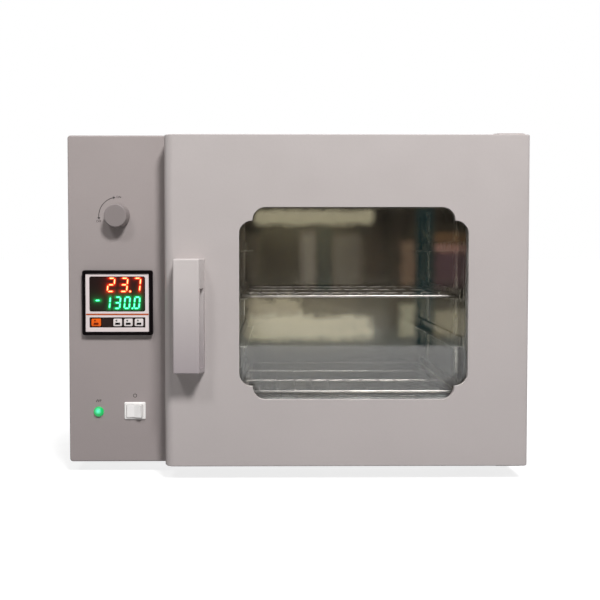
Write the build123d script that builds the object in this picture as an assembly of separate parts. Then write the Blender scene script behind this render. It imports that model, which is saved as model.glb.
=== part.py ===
from build123d import *
import math
import os

# Bench drying oven: a painted steel cabinet with a stainless chamber, a hinged door with a
# light window, and a control column at its left. Millimetres, +Z up, the door faces -Y.
# Pieces are drawn from the cabinet's lower left front corner (x to the right, y to the back,
# z up) and moved to the part's own origin, under the middle of its box, when written.

# ---------------------------------------------------------------- cabinet
SHEET = 1.5                # painted steel sheet
LINER = 1.2                # stainless sheet of the chamber
COLUMN_WIDTH = 142         # control column
WALL_LEFT = 42             # insulated wall between the column and the air duct
DUCT_WIDTH = 36            # air duct beside the chamber
CHAMBER_WIDTH = 300
WALL_RIGHT = 70
WALL_BOTTOM = 76
CHAMBER_HEIGHT = 270
WALL_TOP = 82
CHAMBER_DEPTH = 300
WALL_REAR = 63.5           # insulated wall behind the chamber
REAR_BAY = 30              # space between the bulkhead and the rear face
CHAMBER_CORNER = 8         # bend radius of the chamber's long corners
CASE_BEND = 4              # bend radius of the casing
EDGE_ROUND = 2             # rounding of the front and rear edges
TRAY_DEPTH = 14            # depth of the front and rear trays
LAP = 10                   # joggled lip under each neighbour
RETURN_WIDTH = 15          # casing's returns under the base
INNER_GAP = 1              # air round the insulation
FOOT_HEIGHT = 15
FOOT_RADIUS = 15
FOOT_TAPER = 2
FOOT_SIDE_INSET = 45
FOOT_END_INSET = 75
SCREW_RADIUS = 1.9         # case and foot screws
SCREW_HEAD_RADIUS = 3.6
SCREW_HEAD = 2
SCREW_CLEARANCE = 0.1
SCREW_BITE = 4 * SHEET     # how far a case screw reaches in
FLATS = 8                  # sides of screws, feet and other small round pieces
HIDDEN_FLATS = 12          # and of the large round pieces inside the cabinet
SCREW_END_MARGIN = 60
VENT_SLOT_LENGTH = 60
VENT_SLOT_HEIGHT = 3.5
VENT_SLOT_PITCH = 9
VENT_SLOTS = 9
LOUVRE_WIDTH = 56
LOUVRE_HEIGHT = 9
LOUVRE_PROUD = 5
LOUVRE_PITCH = 20
LOUVRE_ROWS = 5
LOUVRE_LEFT = 24           # louvre columns: first edge, and the step between them
LOUVRE_STEP = 76

# ---------------------------------------------------------------- door
DOOR_LEFT_MARGIN = 130     # width of the control panel left free
DOOR_RIGHT_MARGIN = -2      # the door stands a little past the cabinet's side
DOOR_END_MARGIN = 4
DOOR_GAP = 6
DOOR_THICKNESS = 34
DOOR_BEND_LEFT = 12
DOOR_BEND_RIGHT = 5
WINDOW_WIDTH = 290
WINDOW_HEIGHT = 244
WINDOW_STEP = 17           # scalloped corners: step of the outline
WINDOW_CORNER = 16.5       # and radius of its arcs
LIP_DEPTH = 6              # rolled edge of the window, to the glass
GLASS = 4
GLASS_MARGIN = 12          # glass outside the window opening
FRAME_WALL = 3.5           # window frame round the glass
FRAME_COVER = 2            # how far the spacer stands back from the opening
GLASS_CLEARANCE = 0.5
GASKET_MARGIN = 10         # gasket's inner edge from the chamber mouth
GASKET_WIDTH = 10
GASKET_GAP = 0.3
HINGE_AXIS_INSET = 10      # hinge axis from the door's right edge
HINGE_AXIS_DEPTH = 18      # and behind its front face
PIN_RADIUS = 4
PIN_REACH = 14
BUSH_WALL = 3
BUSH_FLANGE = 0.7
RUNNING_FIT = 0.05
BRACKET_PLATE = 2
BRACKET_WIDTH = 40
BRACKET_LEG = 2.5
BRACKET_LEG_HEIGHT = 28
HANDLE_INSET = 14
HANDLE_WIDTH = 38
HANDLE_HEIGHT = 144
HANDLE_TAPER = 3
HANDLE_PROJECTION = 32
HANDLE_DROP = 18           # handle's middle below the door's middle
GRIP_PLATE = 5
GRIP_RIM = 8
GRIP_SPINE = 7
RECESS_BOTTOM = 8
RECESS_TOP = 37
HANDLE_SCREW_RADIUS = 2.5
HANDLE_SCREW_END = 34
CATCH_WIDTH = 12
CATCH_HEIGHT = 44
CATCH_PROUD = 3
CATCH_OFFSET = 11
KEEPER = 2.6

# ---------------------------------------------------------------- chamber fittings
RACK_SHEET = 1.5
RACK_WIDTH = 14
RACK_FRONT = 52
RACK_REAR = 250
RUNNER_LEDGE = 10
RUNNER_UP = 12
SHELF_FIRST_LEVEL = 13              # wire centres above the chamber floor
SHELF_LEVEL_STEP = 64
SHELF_LEVEL_COUNT = 4
SHELF_LEVELS = tuple(SHELF_FIRST_LEVEL + SHELF_LEVEL_STEP * n for n in range(SHELF_LEVEL_COUNT))
SHELF_FRAME_WIRE = 2.5              # radius
SHELF_WIRE = 1.5                    # radius
SHELF_SIDE_GAP = 4
SHELF_FRONT_GAP = 18
SHELF_REAR_GAP = 6
SHELF_CORNER = 12
SHELF_PITCH = 24
WIRE_FLATS = 6                      # sides of a shelf wire
SHELF_BRACES = 2
SHELF_BRACE_WIRE = 2.1              # radius
BODY_GAP = 0.3                      # between pieces that move apart
WIRE_SINK = 0.8                     # a welded wire sinks this far into the other

# ---------------------------------------------------------------- air path and fan
INTAKE_DROP = 23           # vent knob and intake below the chamber top
INTAKE_RADIUS = 18
INTAKE_WALL = 1
INTAKE_DEPTH = 62
INTAKE_END = 10
DAMPER_CLEARANCE = 0.6
DAMPER_THICKNESS = 1.5
DAMPER_HUB = 4.5
EXHAUST_RADIUS = 15
EXHAUST_WALL = 1.5
EXHAUST_DROP = 27
VENT_STUB = 20
FAN_RADIUS = 62
FAN_BLADES = 12
FAN_BLADE_TURN = 24        # degrees between a blade's root and its tip
FAN_BLADE_WIDTH = 18
FAN_PLATE = 1.2
FAN_INNER = 44
FAN_CLEARANCE = 4
SHAFT_RADIUS = 4
MOTOR_RADIUS = 34
MOTOR_LENGTH = 44
MOTOR_PLATE = 2.5
HEATER_RADIUS = 80
HEATER_TUBE = 4
HEATER_GAP_ANGLE = 30
PROBE_RADIUS = 3
PROBE_FROM_REAR = 53
PROBE_DROP = 46            # below the chamber top

# ---------------------------------------------------------------- controls
KNOB_RADIUS = 14.5
KNOB_BASE_RADIUS = 16
KNOB_EDGE = 1.2
KNOB_GRIP = 0.75           # share of the knob that the spindle reaches into
KNOB_GAP = 1
KNOB_LENGTH = 16
SPINDLE_RADIUS = 3
BUSH_RADIUS = 5
CONTROLLER_Z = 210
CONTROLLER_WIDTH = 91.5
CONTROLLER_HEIGHT = 84.6
CONTROLLER_PROUD = 7
CONTROLLER_BODY_WIDTH = 84
CONTROLLER_BODY_HEIGHT = 77
CONTROLLER_BODY_DEPTH = 70
CONTROLLER_CORNER = 3
FACE_WIDTH = 82.5
FACE_HEIGHT = 75.6
FACE_RECESS = 1
PLATE = 1.5
DISPLAY_WIDTH = 72.5
DISPLAY_HEIGHT = 45.7
DISPLAY_RISE = 11.5        # display's middle above the controller's middle
DISPLAY_CORNER = 2.5
KEYS_HEIGHT = 13.3
KEYS_DROP = 25.6
KEY_WIDTH = 12
SET_KEY_WIDTH = 13.2
KEY_HEIGHT = 10.9
KEY_PITCH = 13.9
LAST_KEY = 28.1            # last key's middle from the controller's middle
SET_KEY = -27.6
KEY_TRAVEL = 0.8
KEY_FLANGE = 0.7
KEY_PROUD = 0.7
KEY_STEM = 2               # length and radius of a key's stem
SWITCH_X = 86.3
SWITCH_Z = 67.5
SWITCH_WIDTH = 28
SWITCH_HEIGHT = 22.8
SWITCH_BEZEL = 2
SWITCH_BODY_WIDTH = 25.2
SWITCH_BODY_HEIGHT = 19.6
SWITCH_BODY_DEPTH = 24
ROCKER_RADIUS = 10.8
ROCKER_HEIGHT = 16
ROCKER_VALLEY = 3.6
ROCKER_CREST = 5.6
ROCKER_BACK = 5
ROCKER_TILT = 10
TRUNNION_RADIUS = 1.5
TRUNNION_LENGTH = 1.2
LAMP_X = 38.6
LAMP_Z = 66.3
LAMP_RADIUS = 6.7
LAMP_DOME = 5
LAMP_RINGS = 3             # flat bands that make the dome
LAMP_STEM = 5
INLET_X = 65
INLET_Z = 50
INLET_WIDTH = 27
INLET_HEIGHT = 20
INLET_FLANGE = 2.5
INLET_DEPTH = 18
INLET_RIM = 3
INLET_WALL = 1.5
INLET_BLADE = (2, 4)
INLET_BLADES = ((-7, -2), (0, 2), (7, -2))
RELAY_X = (22, 82)
RELAY_Y = (205, 295)
RELAY_SINK_HEIGHT = 25
RELAY_SINK_FLOOR = 3
RELAY_SINK_ROOF = 5
RELAY_FIN = 2
RELAY_FINS = 7
RELAY_HEIGHT = 24
RELAY_INSET = (7, 16)      # from the heat sink's sides and ends
TERMINAL_X = (100, 122)
TERMINAL_Y = (205, 285)
TERMINAL_HEIGHT = 12
TERMINAL_RIB = 2
TERMINAL_RIB_HEIGHT = 20
TERMINALS = 8

# ---------------------------------------------------------------- worked out from the above
CASE_WIDTH = COLUMN_WIDTH + WALL_LEFT + DUCT_WIDTH + CHAMBER_WIDTH + WALL_RIGHT
CASE_HEIGHT = WALL_BOTTOM + CHAMBER_HEIGHT + WALL_TOP
CASE_DEPTH = SHEET + CHAMBER_DEPTH + WALL_REAR + REAR_BAY
DUCT_LEFT = COLUMN_WIDTH + WALL_LEFT
CHAMBER_X = (DUCT_LEFT + DUCT_WIDTH, CASE_WIDTH - WALL_RIGHT)
CHAMBER_Y = (SHEET, SHEET + CHAMBER_DEPTH)
CHAMBER_Z = (WALL_BOTTOM, WALL_BOTTOM + CHAMBER_HEIGHT)
CHAMBER_MIDDLE_X = sum(CHAMBER_X) / 2
CHAMBER_MIDDLE_Z = sum(CHAMBER_Z) / 2
BULKHEAD_Y = CHAMBER_Y[1] + WALL_REAR
PARTITION_X = COLUMN_WIDTH + SHEET
BASE_TOP = 2 * SHEET
DOOR_X = (DOOR_LEFT_MARGIN, CASE_WIDTH - DOOR_RIGHT_MARGIN)
DOOR_Y = (-DOOR_GAP - DOOR_THICKNESS, -DOOR_GAP)
DOOR_Z = (DOOR_END_MARGIN, CASE_HEIGHT - DOOR_END_MARGIN)
HINGE_X = DOOR_X[1] - HINGE_AXIS_INSET
HINGE_Y = DOOR_Y[0] + HINGE_AXIS_DEPTH
GLASS_FRONT = DOOR_Y[0] + LIP_DEPTH
PANEL_FRONT = DOOR_Y[1] - SHEET
HANDLE_X = DOOR_X[0] + HANDLE_INSET + HANDLE_WIDTH / 2
HANDLE_Z = sum(DOOR_Z) / 2 - HANDLE_DROP
CONTROL_X = DOOR_LEFT_MARGIN / 2
CATCH_X = COLUMN_WIDTH + CATCH_OFFSET
INTAKE_Z = CHAMBER_Z[1] - INTAKE_DROP
EXHAUST_X = DUCT_LEFT + DUCT_WIDTH / 2 - LINER / 2
EXHAUST_Z = CHAMBER_Z[1] - EXHAUST_DROP
FAN_Y = sum(CHAMBER_Y) / 2
FAN_Z = CHAMBER_MIDDLE_Z
PROBE_Y = CHAMBER_Y[1] - PROBE_FROM_REAR
PROBE_Z = CHAMBER_Z[1] - PROBE_DROP
MOTOR_FACE = PARTITION_X - MOTOR_PLATE
HEATER_X = DUCT_LEFT + DUCT_WIDTH / 2
FACE_FRONT = -CONTROLLER_PROUD + FACE_RECESS
FACE_BACK = FACE_FRONT + PLATE
SHELF_X = (CHAMBER_X[0] + SHELF_SIDE_GAP, CHAMBER_X[1] - SHELF_SIDE_GAP)
SHELF_Y = (CHAMBER_Y[0] + SHELF_FRONT_GAP, CHAMBER_Y[1] - SHELF_REAR_GAP)
FRONT_REACH = DOOR_GAP + DOOR_THICKNESS + HANDLE_PROJECTION
FACE_Y = (FRONT_REACH - CASE_DEPTH - VENT_STUB) / 2
TO_ORIGIN = Pos(-CASE_WIDTH / 2, FACE_Y, FOOT_HEIGHT)


# ---------------------------------------------------------------- drawing helpers
def block(x, y, z):
    """Box between two limits along each axis."""
    size = (x[1] - x[0], y[1] - y[0], z[1] - z[0])
    return Pos(x[0], y[0], z[0]) * Box(*size, align=(Align.MIN,) * 3)


def bar(length, radius, flats=0):
    """Bar up from the origin: round, or with a number of flats at its radius."""
    if flats:
        return extrude(RegularPolygon(radius, flats, major_radius=False), amount=length)
    return Cylinder(radius, length, align=(Align.CENTER, Align.CENTER, Align.MIN))


def rod_x(x, y, z, radius, flats=0):
    """Bar along X."""
    return Pos(x[0], y, z) * Rot(0, 90, 0) * bar(x[1] - x[0], radius, flats)


def rod_y(x, y, z, radius, flats=0):
    """Bar along Y."""
    return Pos(x, y[0], z) * Rot(-90, 0, 0) * bar(y[1] - y[0], radius, flats)


def rod_z(x, y, z, radius, flats=0):
    """Bar along Z."""
    return Pos(x, y, z[0]) * bar(z[1] - z[0], radius, flats)


def edges_at(shape, axis, place):
    """The edges of a shape that lie at one place along an axis."""
    return shape.edges().filter_by_position(axis, place - 0.01, place + 0.01)


def front_plane(y):
    """Drawing plane seen from the front: its X is the part's X, its Y is the part's Z."""
    return Plane(origin=(0, y, 0), x_dir=(1, 0, 0), z_dir=(0, -1, 0))


def slab(outline, y):
    """Outline drawn in X and Z, made solid between two depths."""
    return extrude(front_plane(y[1]) * outline, amount=y[1] - y[0])


def panel(middle, size, radius=0.0):
    """Rectangle in X and Z about its middle, with rounded corners if a radius is given."""
    shape = RectangleRounded(*size, radius) if radius else Rectangle(*size)
    return Pos(*middle) * shape


def span(x, z):
    """Rectangle in X and Z between two limits along each."""
    return panel((sum(x) / 2, sum(z) / 2), (x[1] - x[0], z[1] - z[0]))


def cabinet_outline(inset=0.0):
    """Front outline of the cabinet, moved in by inset."""
    size = (CASE_WIDTH - 2 * inset, CASE_HEIGHT - 2 * inset)
    return panel((CASE_WIDTH / 2, CASE_HEIGHT / 2), size, max(CASE_BEND - inset, SHEET / 4))


def mouth_outline(grow=0.0):
    """Mouth of the chamber, moved out by grow."""
    size = (CHAMBER_WIDTH + 2 * grow, CHAMBER_HEIGHT + 2 * grow)
    return panel((CHAMBER_MIDDLE_X, CHAMBER_MIDDLE_Z), size, CHAMBER_CORNER + grow)


def window_rectangle(grow, radius=0.0):
    """Rectangle about the window, moved out by grow."""
    size = (WINDOW_WIDTH + 2 * grow, WINDOW_HEIGHT + 2 * grow)
    return panel((CHAMBER_MIDDLE_X, CHAMBER_MIDDLE_Z), size, radius)


def window_outline(grow=0.0):
    """Scalloped window: a wide and a tall rounded rectangle laid over each other."""
    middle = (CHAMBER_MIDDLE_X, CHAMBER_MIDDLE_Z)
    wide = (WINDOW_WIDTH + 2 * grow, WINDOW_HEIGHT + 2 * (grow - WINDOW_STEP))
    tall = (WINDOW_WIDTH + 2 * (grow - WINDOW_STEP), WINDOW_HEIGHT + 2 * grow)
    return panel(middle, wide, WINDOW_CORNER) + panel(middle, tall, WINDOW_CORNER)


# ---------------------------------------------------------------- cabinet sheet metal
def front_tray(x):
    """Part of the cabinet's front between two x limits: a shallow tray open to the back."""
    z = (-1, CASE_HEIGHT + 1)
    outside = slab(cabinet_outline() & span(x, z), (0, TRAY_DEPTH))
    front_edges = edges_at(outside, Axis.Y, 0)
    outside = fillet(front_edges, EDGE_ROUND)
    pocket = cabinet_outline(SHEET) & span((x[0] + SHEET, x[1] - SHEET), z)
    return outside - slab(pocket, (SHEET, TRAY_DEPTH))


def control_fascia():
    """Front of the control column, with the cut-outs of its controls."""
    through = (0, SHEET)
    body = front_tray((0, COLUMN_WIDTH))
    body -= rod_y(CONTROL_X, through, INTAKE_Z, BUSH_RADIUS)
    size = (CONTROLLER_BODY_WIDTH, CONTROLLER_BODY_HEIGHT)
    body -= slab(panel((CONTROL_X, CONTROLLER_Z), size), through)
    size = (SWITCH_BODY_WIDTH, SWITCH_BODY_HEIGHT)
    body -= slab(panel((SWITCH_X, SWITCH_Z), size), through)
    return body - rod_y(LAMP_X, through, LAMP_Z, LAMP_STEM)


def front_frame():
    """Front of the cabinet round the chamber mouth, with the catch's cut-out."""
    through = (0, SHEET)
    body = front_tray((COLUMN_WIDTH, CASE_WIDTH))
    body -= slab(mouth_outline(), through)
    return body - slab(panel((CATCH_X, HANDLE_Z), (CATCH_WIDTH, CATCH_HEIGHT)), through)


def side_slots(middle_y, middle_z):
    """Rows of ventilation slots through the left side."""
    slots = []
    y = (middle_y - VENT_SLOT_LENGTH / 2, middle_y + VENT_SLOT_LENGTH / 2)
    for row in range(VENT_SLOTS):
        z = middle_z + (row - (VENT_SLOTS - 1) / 2) * VENT_SLOT_PITCH
        slots.append(block((0, SHEET), y, (z, z + VENT_SLOT_HEIGHT)))
    return slots


def screw_places():
    """Heights of the case screws on each side."""
    low, high = SCREW_END_MARGIN, CASE_HEIGHT - SCREW_END_MARGIN
    return (low, (low + high) / 2, high)


def screw_depth():
    """Depth of the case screws, in the middle of the rear lap."""
    return CASE_DEPTH - TRAY_DEPTH + LAP / 2


def outer_casing():
    """Wrapped sheet: top, sides and two returns below, with joggled lips at both ends."""
    middle = (TRAY_DEPTH, CASE_DEPTH - TRAY_DEPTH)
    body = slab(cabinet_outline() - cabinet_outline(SHEET), middle)
    open_x = (RETURN_WIDTH, CASE_WIDTH - RETURN_WIDTH)
    body -= block(open_x, middle, (0, SHEET))
    ring = cabinet_outline(SHEET) - cabinet_outline(2 * SHEET)
    ring &= span((0, CASE_WIDTH), (BASE_TOP + INNER_GAP, CASE_HEIGHT))
    body += slab(ring, (TRAY_DEPTH - LAP, TRAY_DEPTH + LAP))
    body += slab(ring, (CASE_DEPTH - TRAY_DEPTH - LAP, CASE_DEPTH - TRAY_DEPTH + LAP))
    walls = (COLUMN_WIDTH - SHEET, COLUMN_WIDTH + SHEET)
    body -= block(walls, (TRAY_DEPTH - LAP, TRAY_DEPTH), (0, CASE_HEIGHT))
    for slot in side_slots(INTAKE_DEPTH, INTAKE_Z) + side_slots(FAN_Y * 1.5, FAN_Z / 2):
        body -= slot
    for z in screw_places():
        body -= rod_x((0, CASE_WIDTH), screw_depth(), z, SCREW_RADIUS + SCREW_CLEARANCE, FLATS)
    return body


def case_screws():
    """Low headed screws through each side of the rear cover into the casing's lip."""
    screws = []
    y = screw_depth()
    for z in screw_places():
        for side, way in ((0, -1), (CASE_WIDTH, 1)):
            head = rod_x(sorted((side, side + way * SCREW_HEAD)), y, z, SCREW_HEAD_RADIUS, FLATS)
            rim = edges_at(head, Axis.X, side + way * SCREW_HEAD)
            head = chamfer(rim, SCREW_HEAD / 2)
            shank = rod_x(sorted((side, side - way * SCREW_BITE)), y, z, SCREW_RADIUS, FLATS)
            screws.append(head + shank)
    return screws


def base_plate():
    """Floor sheet on the casing's returns, holding the feet and the electric parts."""
    x = (CASE_BEND + INNER_GAP, CASE_WIDTH - CASE_BEND - INNER_GAP)
    body = block(x, (SHEET, CASE_DEPTH - SHEET), (SHEET, BASE_TOP))
    walls = (COLUMN_WIDTH - SHEET, COLUMN_WIDTH + SHEET)
    body -= block(walls, (SHEET, TRAY_DEPTH), (SHEET, BASE_TOP))
    for x, y in foot_places():
        body -= rod_z(x, y, (SHEET, BASE_TOP), SCREW_RADIUS + SCREW_CLEARANCE, FLATS)
    return body


def louvre(x, z):
    """Pressed hood, open below: its outside, and the space cut under it through the sheet."""
    rear = CASE_DEPTH
    tip = (rear + LOUVRE_PROUD, z)
    outside = Polyline((rear - SHEET, z), tip, (rear, z + LOUVRE_HEIGHT), (rear - SHEET, z + LOUVRE_HEIGHT),
                       close=True)
    inside = Polyline((rear - 2 * SHEET, z - SHEET), (rear + LOUVRE_PROUD - SHEET, z - SHEET),
                      (rear + LOUVRE_PROUD - SHEET, z), (rear - SHEET, z + LOUVRE_HEIGHT - SHEET),
                      (rear - 2 * SHEET, z + LOUVRE_HEIGHT - SHEET), close=True)
    hood = Pos(x[0], 0, 0) * extrude(Plane.YZ * make_face(outside), amount=x[1] - x[0])
    cut = extrude(Plane.YZ * make_face(inside), amount=x[1] - x[0] - 2 * SHEET)
    return hood, Pos(x[0] + SHEET, 0, 0) * cut


def rear_cover():
    """Rear tray with pressed louvres and the cut-outs of the inlet and the exhaust pipe."""
    outside = slab(cabinet_outline(), (CASE_DEPTH - TRAY_DEPTH, CASE_DEPTH))
    rear_edges = edges_at(outside, Axis.Y, CASE_DEPTH)
    outside = chamfer(rear_edges, EDGE_ROUND)
    pocket = (CASE_DEPTH - TRAY_DEPTH, CASE_DEPTH - SHEET)
    body = outside - slab(cabinet_outline(SHEET), pocket)
    for column in range(2):
        left = LOUVRE_LEFT + column * LOUVRE_STEP
        for row in range(LOUVRE_ROWS):
            z = CHAMBER_MIDDLE_Z + (row - LOUVRE_ROWS / 2) * LOUVRE_PITCH
            hood, cut = louvre((left, left + LOUVRE_WIDTH), z)
            body = body + hood - cut
    rear = (CASE_DEPTH - SHEET, CASE_DEPTH)
    body -= slab(panel((INLET_X, INLET_Z), (INLET_WIDTH, INLET_HEIGHT)), rear)
    body -= rod_y(EXHAUST_X, rear, EXHAUST_Z, EXHAUST_RADIUS + EXHAUST_WALL)
    for z in screw_places():
        body -= rod_x((0, CASE_WIDTH), screw_depth(), z, SCREW_RADIUS + SCREW_CLEARANCE, FLATS)
    return tray_walls(body, (CASE_DEPTH - TRAY_DEPTH, CASE_DEPTH - 2 * SHEET), CASE_DEPTH + LOUVRE_PROUD)


def tray_walls(body, rim, face):
    """A tray cut into its flat face and the four walls of its rim."""
    x, z = (0, CASE_WIDTH), (0, CASE_HEIGHT)
    inner = (CASE_BEND, CASE_HEIGHT - CASE_BEND)
    cuts = [block(x, (rim[1], face), z),
            block((0, CASE_BEND), rim, inner), block((CASE_WIDTH - CASE_BEND, CASE_WIDTH), rim, inner),
            block(x, rim, (0, CASE_BEND)), block(x, rim, (CASE_HEIGHT - CASE_BEND, CASE_HEIGHT))]
    return [solid for cut in cuts for solid in (body & cut).solids()]


def foot_places():
    """Middles of the four feet."""
    xs = (FOOT_SIDE_INSET, CASE_WIDTH - FOOT_SIDE_INSET)
    ys = (FOOT_END_INSET, CASE_DEPTH - FOOT_END_INSET)
    return [(x, y) for x in xs for y in ys]


def rubber_feet():
    """Four tapered feet, each hollowed for its screw."""
    feet = []
    height = FOOT_HEIGHT + SHEET
    slope = math.degrees(math.atan(FOOT_TAPER / height))
    for x, y in foot_places():
        sole = RegularPolygon(FOOT_RADIUS - FOOT_TAPER, HIDDEN_FLATS)
        foot = Pos(x, y, -FOOT_HEIGHT) * extrude(sole, amount=height, taper=-slope)
        foot -= rod_z(x, y, (-FOOT_HEIGHT, -FOOT_HEIGHT / 2), SCREW_HEAD_RADIUS + 1, FLATS)
        foot -= rod_z(x, y, (-FOOT_HEIGHT / 2, SHEET), SCREW_RADIUS, FLATS)
        feet.append(foot)
    return feet


def foot_screws():
    """A screw up through each foot into the base plate."""
    screws = []
    for x, y in foot_places():
        seat = -FOOT_HEIGHT / 2
        shank = rod_z(x, y, (seat, BASE_TOP), SCREW_RADIUS, FLATS)
        screws.append(shank + rod_z(x, y, (seat - SCREW_HEAD, seat), SCREW_HEAD_RADIUS, FLATS))
    return screws


def wall_passages(x, grow):
    """Everything that crosses the left insulated wall, as bars between two x limits."""
    bars = [rod_x(x, INTAKE_DEPTH, INTAKE_Z, INTAKE_RADIUS + grow, HIDDEN_FLATS),
            rod_x(x, FAN_Y, FAN_Z, SHAFT_RADIUS + grow, FLATS),
            rod_x(x, PROBE_Y, PROBE_Z, PROBE_RADIUS + grow, FLATS)]
    for y, z in heater_ends():
        bars.append(rod_x(x, y, z, HEATER_TUBE + grow, WIRE_FLATS))
    return bars


def partition_panel():
    """Sheet wall between the control column and the insulated chamber."""
    x = (PARTITION_X, PARTITION_X + SHEET)
    y = (SHEET, BULKHEAD_Y - INNER_GAP)
    z = (BASE_TOP, CASE_HEIGHT - 2 * SHEET - INNER_GAP)
    body = block(x, y, z)
    foot = (TRAY_DEPTH + LAP, BULKHEAD_Y - INNER_GAP)
    body += block((PARTITION_X - LAP, x[1]), foot, (BASE_TOP, BASE_TOP + SHEET))
    for bar in wall_passages(x, INNER_GAP):
        body -= bar
    return body


def rear_bulkhead():
    """Sheet wall behind the insulation, passed by the exhaust pipe."""
    x = (PARTITION_X, CASE_WIDTH - 2 * SHEET - INNER_GAP)
    z = (BASE_TOP, CASE_HEIGHT - 2 * SHEET - INNER_GAP)
    body = block(x, (BULKHEAD_Y, BULKHEAD_Y + SHEET), z)
    rear = (BULKHEAD_Y, BULKHEAD_Y + SHEET)
    hole = rod_y(EXHAUST_X, rear, EXHAUST_Z, EXHAUST_RADIUS + 2 * EXHAUST_WALL, HIDDEN_FLATS)
    return body - hole


def insulation_jacket():
    """Glass wool round the chamber, with its passages."""
    x = (PARTITION_X + SHEET + INNER_GAP, CASE_WIDTH - 2 * SHEET - INNER_GAP)
    y = (TRAY_DEPTH + INNER_GAP, BULKHEAD_Y - INNER_GAP)
    z = (BASE_TOP + INNER_GAP, CASE_HEIGHT - 2 * SHEET - INNER_GAP)
    room = LINER + INNER_GAP
    body = block(x, y, z)
    body -= block((DUCT_LEFT - room, CHAMBER_X[1] + room), (0, CHAMBER_Y[1] + room),
                  (CHAMBER_Z[0] - room, CHAMBER_Z[1] + room))
    for bar in wall_passages((x[0], DUCT_LEFT), 2 * INNER_GAP):
        body -= bar
    passage = (CHAMBER_Y[1], BULKHEAD_Y)
    return body - rod_y(EXHAUST_X, passage, EXHAUST_Z, EXHAUST_RADIUS + 3 * EXHAUST_WALL, HIDDEN_FLATS)


# ---------------------------------------------------------------- chamber
def chamber_liner():
    """Stainless plates: floor, roof and walls of chamber and duct, a flange round the front."""
    x, y, z = (DUCT_LEFT, CHAMBER_X[1]), (SHEET + LINER, CHAMBER_Y[1]), CHAMBER_Z
    wide = (x[0] - LINER, x[1] + LINER)
    plates = [block(wide, y, (z[0] - LINER, z[0])), block(wide, y, (z[1], z[1] + LINER)),
              block((x[1], wide[1]), y, z)]
    left = block((wide[0], x[0]), y, z)
    for bar_through in wall_passages((wide[0], x[0]), 0.5):
        left -= bar_through
    rear = (y[1], y[1] + LINER)
    back = block(wide, rear, (z[0] - LINER, z[1] + LINER))
    back -= rod_y(EXHAUST_X, rear, EXHAUST_Z, EXHAUST_RADIUS + EXHAUST_WALL)
    front = (SHEET, SHEET + LINER)
    beside = ((wide[0] - LAP, CHAMBER_X[0]), (x[1], wide[1] + LAP))
    flange = [block(side, front, z) for side in beside]
    across = (wide[0] - LAP, wide[1] + LAP)
    flange += [block(across, front, (z[0] - LINER - LAP, z[0])), block(across, front, (z[1], z[1] + LINER + LAP))]
    return plates + [left, back] + flange


def duct_panel():
    """Perforated sheet between duct and chamber, with a folded edge at floor and roof."""
    x = (CHAMBER_X[0] - LINER, CHAMBER_X[0])
    y = (SHEET + LINER, CHAMBER_Y[1])
    sheet = block(x, y, CHAMBER_Z)
    pitch = FAN_INNER / 4
    for column in range(-3, 4):
        half = math.sqrt(FAN_INNER ** 2 - (column * pitch) ** 2) - pitch / 2
        middle = FAN_Y + column * pitch
        sheet -= block(x, (middle - pitch / 4, middle + pitch / 4), (FAN_Z - half, FAN_Z + half))
    for z in (CHAMBER_Z[0] + 3 * LAP, CHAMBER_Z[1] - 3 * LAP):
        for column in range(-4, 5):
            middle = FAN_Y + column * 2.4 * pitch
            sheet -= block(x, (middle - pitch, middle + pitch), (z - pitch / 4, z + pitch / 4))
    folds = [block((x[0] - LAP, x[0]), y, (z, z + LINER)) for z in (CHAMBER_Z[0], CHAMBER_Z[1] - LINER)]
    return [sheet] + folds


def rack(wall, way):
    """Two uprights on a chamber wall and an angled runner at each shelf level."""
    z = (CHAMBER_Z[0] + CHAMBER_CORNER, CHAMBER_Z[1] - CHAMBER_CORNER)
    inner = wall + way * RACK_SHEET
    strips = [block(sorted((wall, inner)), (y, y + RACK_WIDTH), z) for y in (RACK_FRONT, RACK_REAR)]
    for level in SHELF_LEVELS:
        top = CHAMBER_Z[0] + level - SHELF_FRAME_WIRE - BODY_GAP
        depth = (SHELF_Y[0], CHAMBER_Y[1] - SHELF_REAR_GAP)
        leg = sorted((inner, inner + way * RACK_SHEET))
        ledge = sorted((inner, inner + way * (RACK_SHEET + RUNNER_LEDGE)))
        strips.append(block(leg, depth, (top, top + RUNNER_UP)))
        strips.append(block(ledge, depth, (top - RACK_SHEET, top)))
    return strips


def shelf(level):
    """Welded wire shelf: a rounded frame, cross braces under close front to back wires."""
    z = CHAMBER_Z[0] + SHELF_LEVELS[level]
    size = (SHELF_X[1] - SHELF_X[0] - 2 * SHELF_FRAME_WIRE, SHELF_Y[1] - SHELF_Y[0] - 2 * SHELF_FRAME_WIRE)
    middle = (sum(SHELF_X) / 2, sum(SHELF_Y) / 2)
    path = (Pos(*middle, z) * RectangleRounded(*size, SHELF_CORNER)).wire()
    section = RegularPolygon(SHELF_FRAME_WIRE, FLATS)
    body = sweep(Plane(origin=path @ 0, z_dir=path % 0) * section, path=path)
    inside_x = (SHELF_X[0] + SHELF_FRAME_WIRE, SHELF_X[1] - SHELF_FRAME_WIRE)
    inside_y = (SHELF_Y[0] + SHELF_FRAME_WIRE, SHELF_Y[1] - SHELF_FRAME_WIRE)
    for brace in range(1, SHELF_BRACES + 1):
        y = inside_y[0] + (inside_y[1] - inside_y[0]) * brace / (SHELF_BRACES + 1)
        body += rod_x(inside_x, y, z, SHELF_BRACE_WIRE, WIRE_FLATS)
    upper = z + SHELF_FRAME_WIRE + SHELF_WIRE - WIRE_SINK
    count = int((inside_x[1] - inside_x[0]) / SHELF_PITCH)
    first = middle[0] - (count - 1) * SHELF_PITCH / 2
    for wire in range(count):
        body += rod_y(first + wire * SHELF_PITCH, inside_y, upper, SHELF_WIRE, WIRE_FLATS)
    return body


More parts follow.
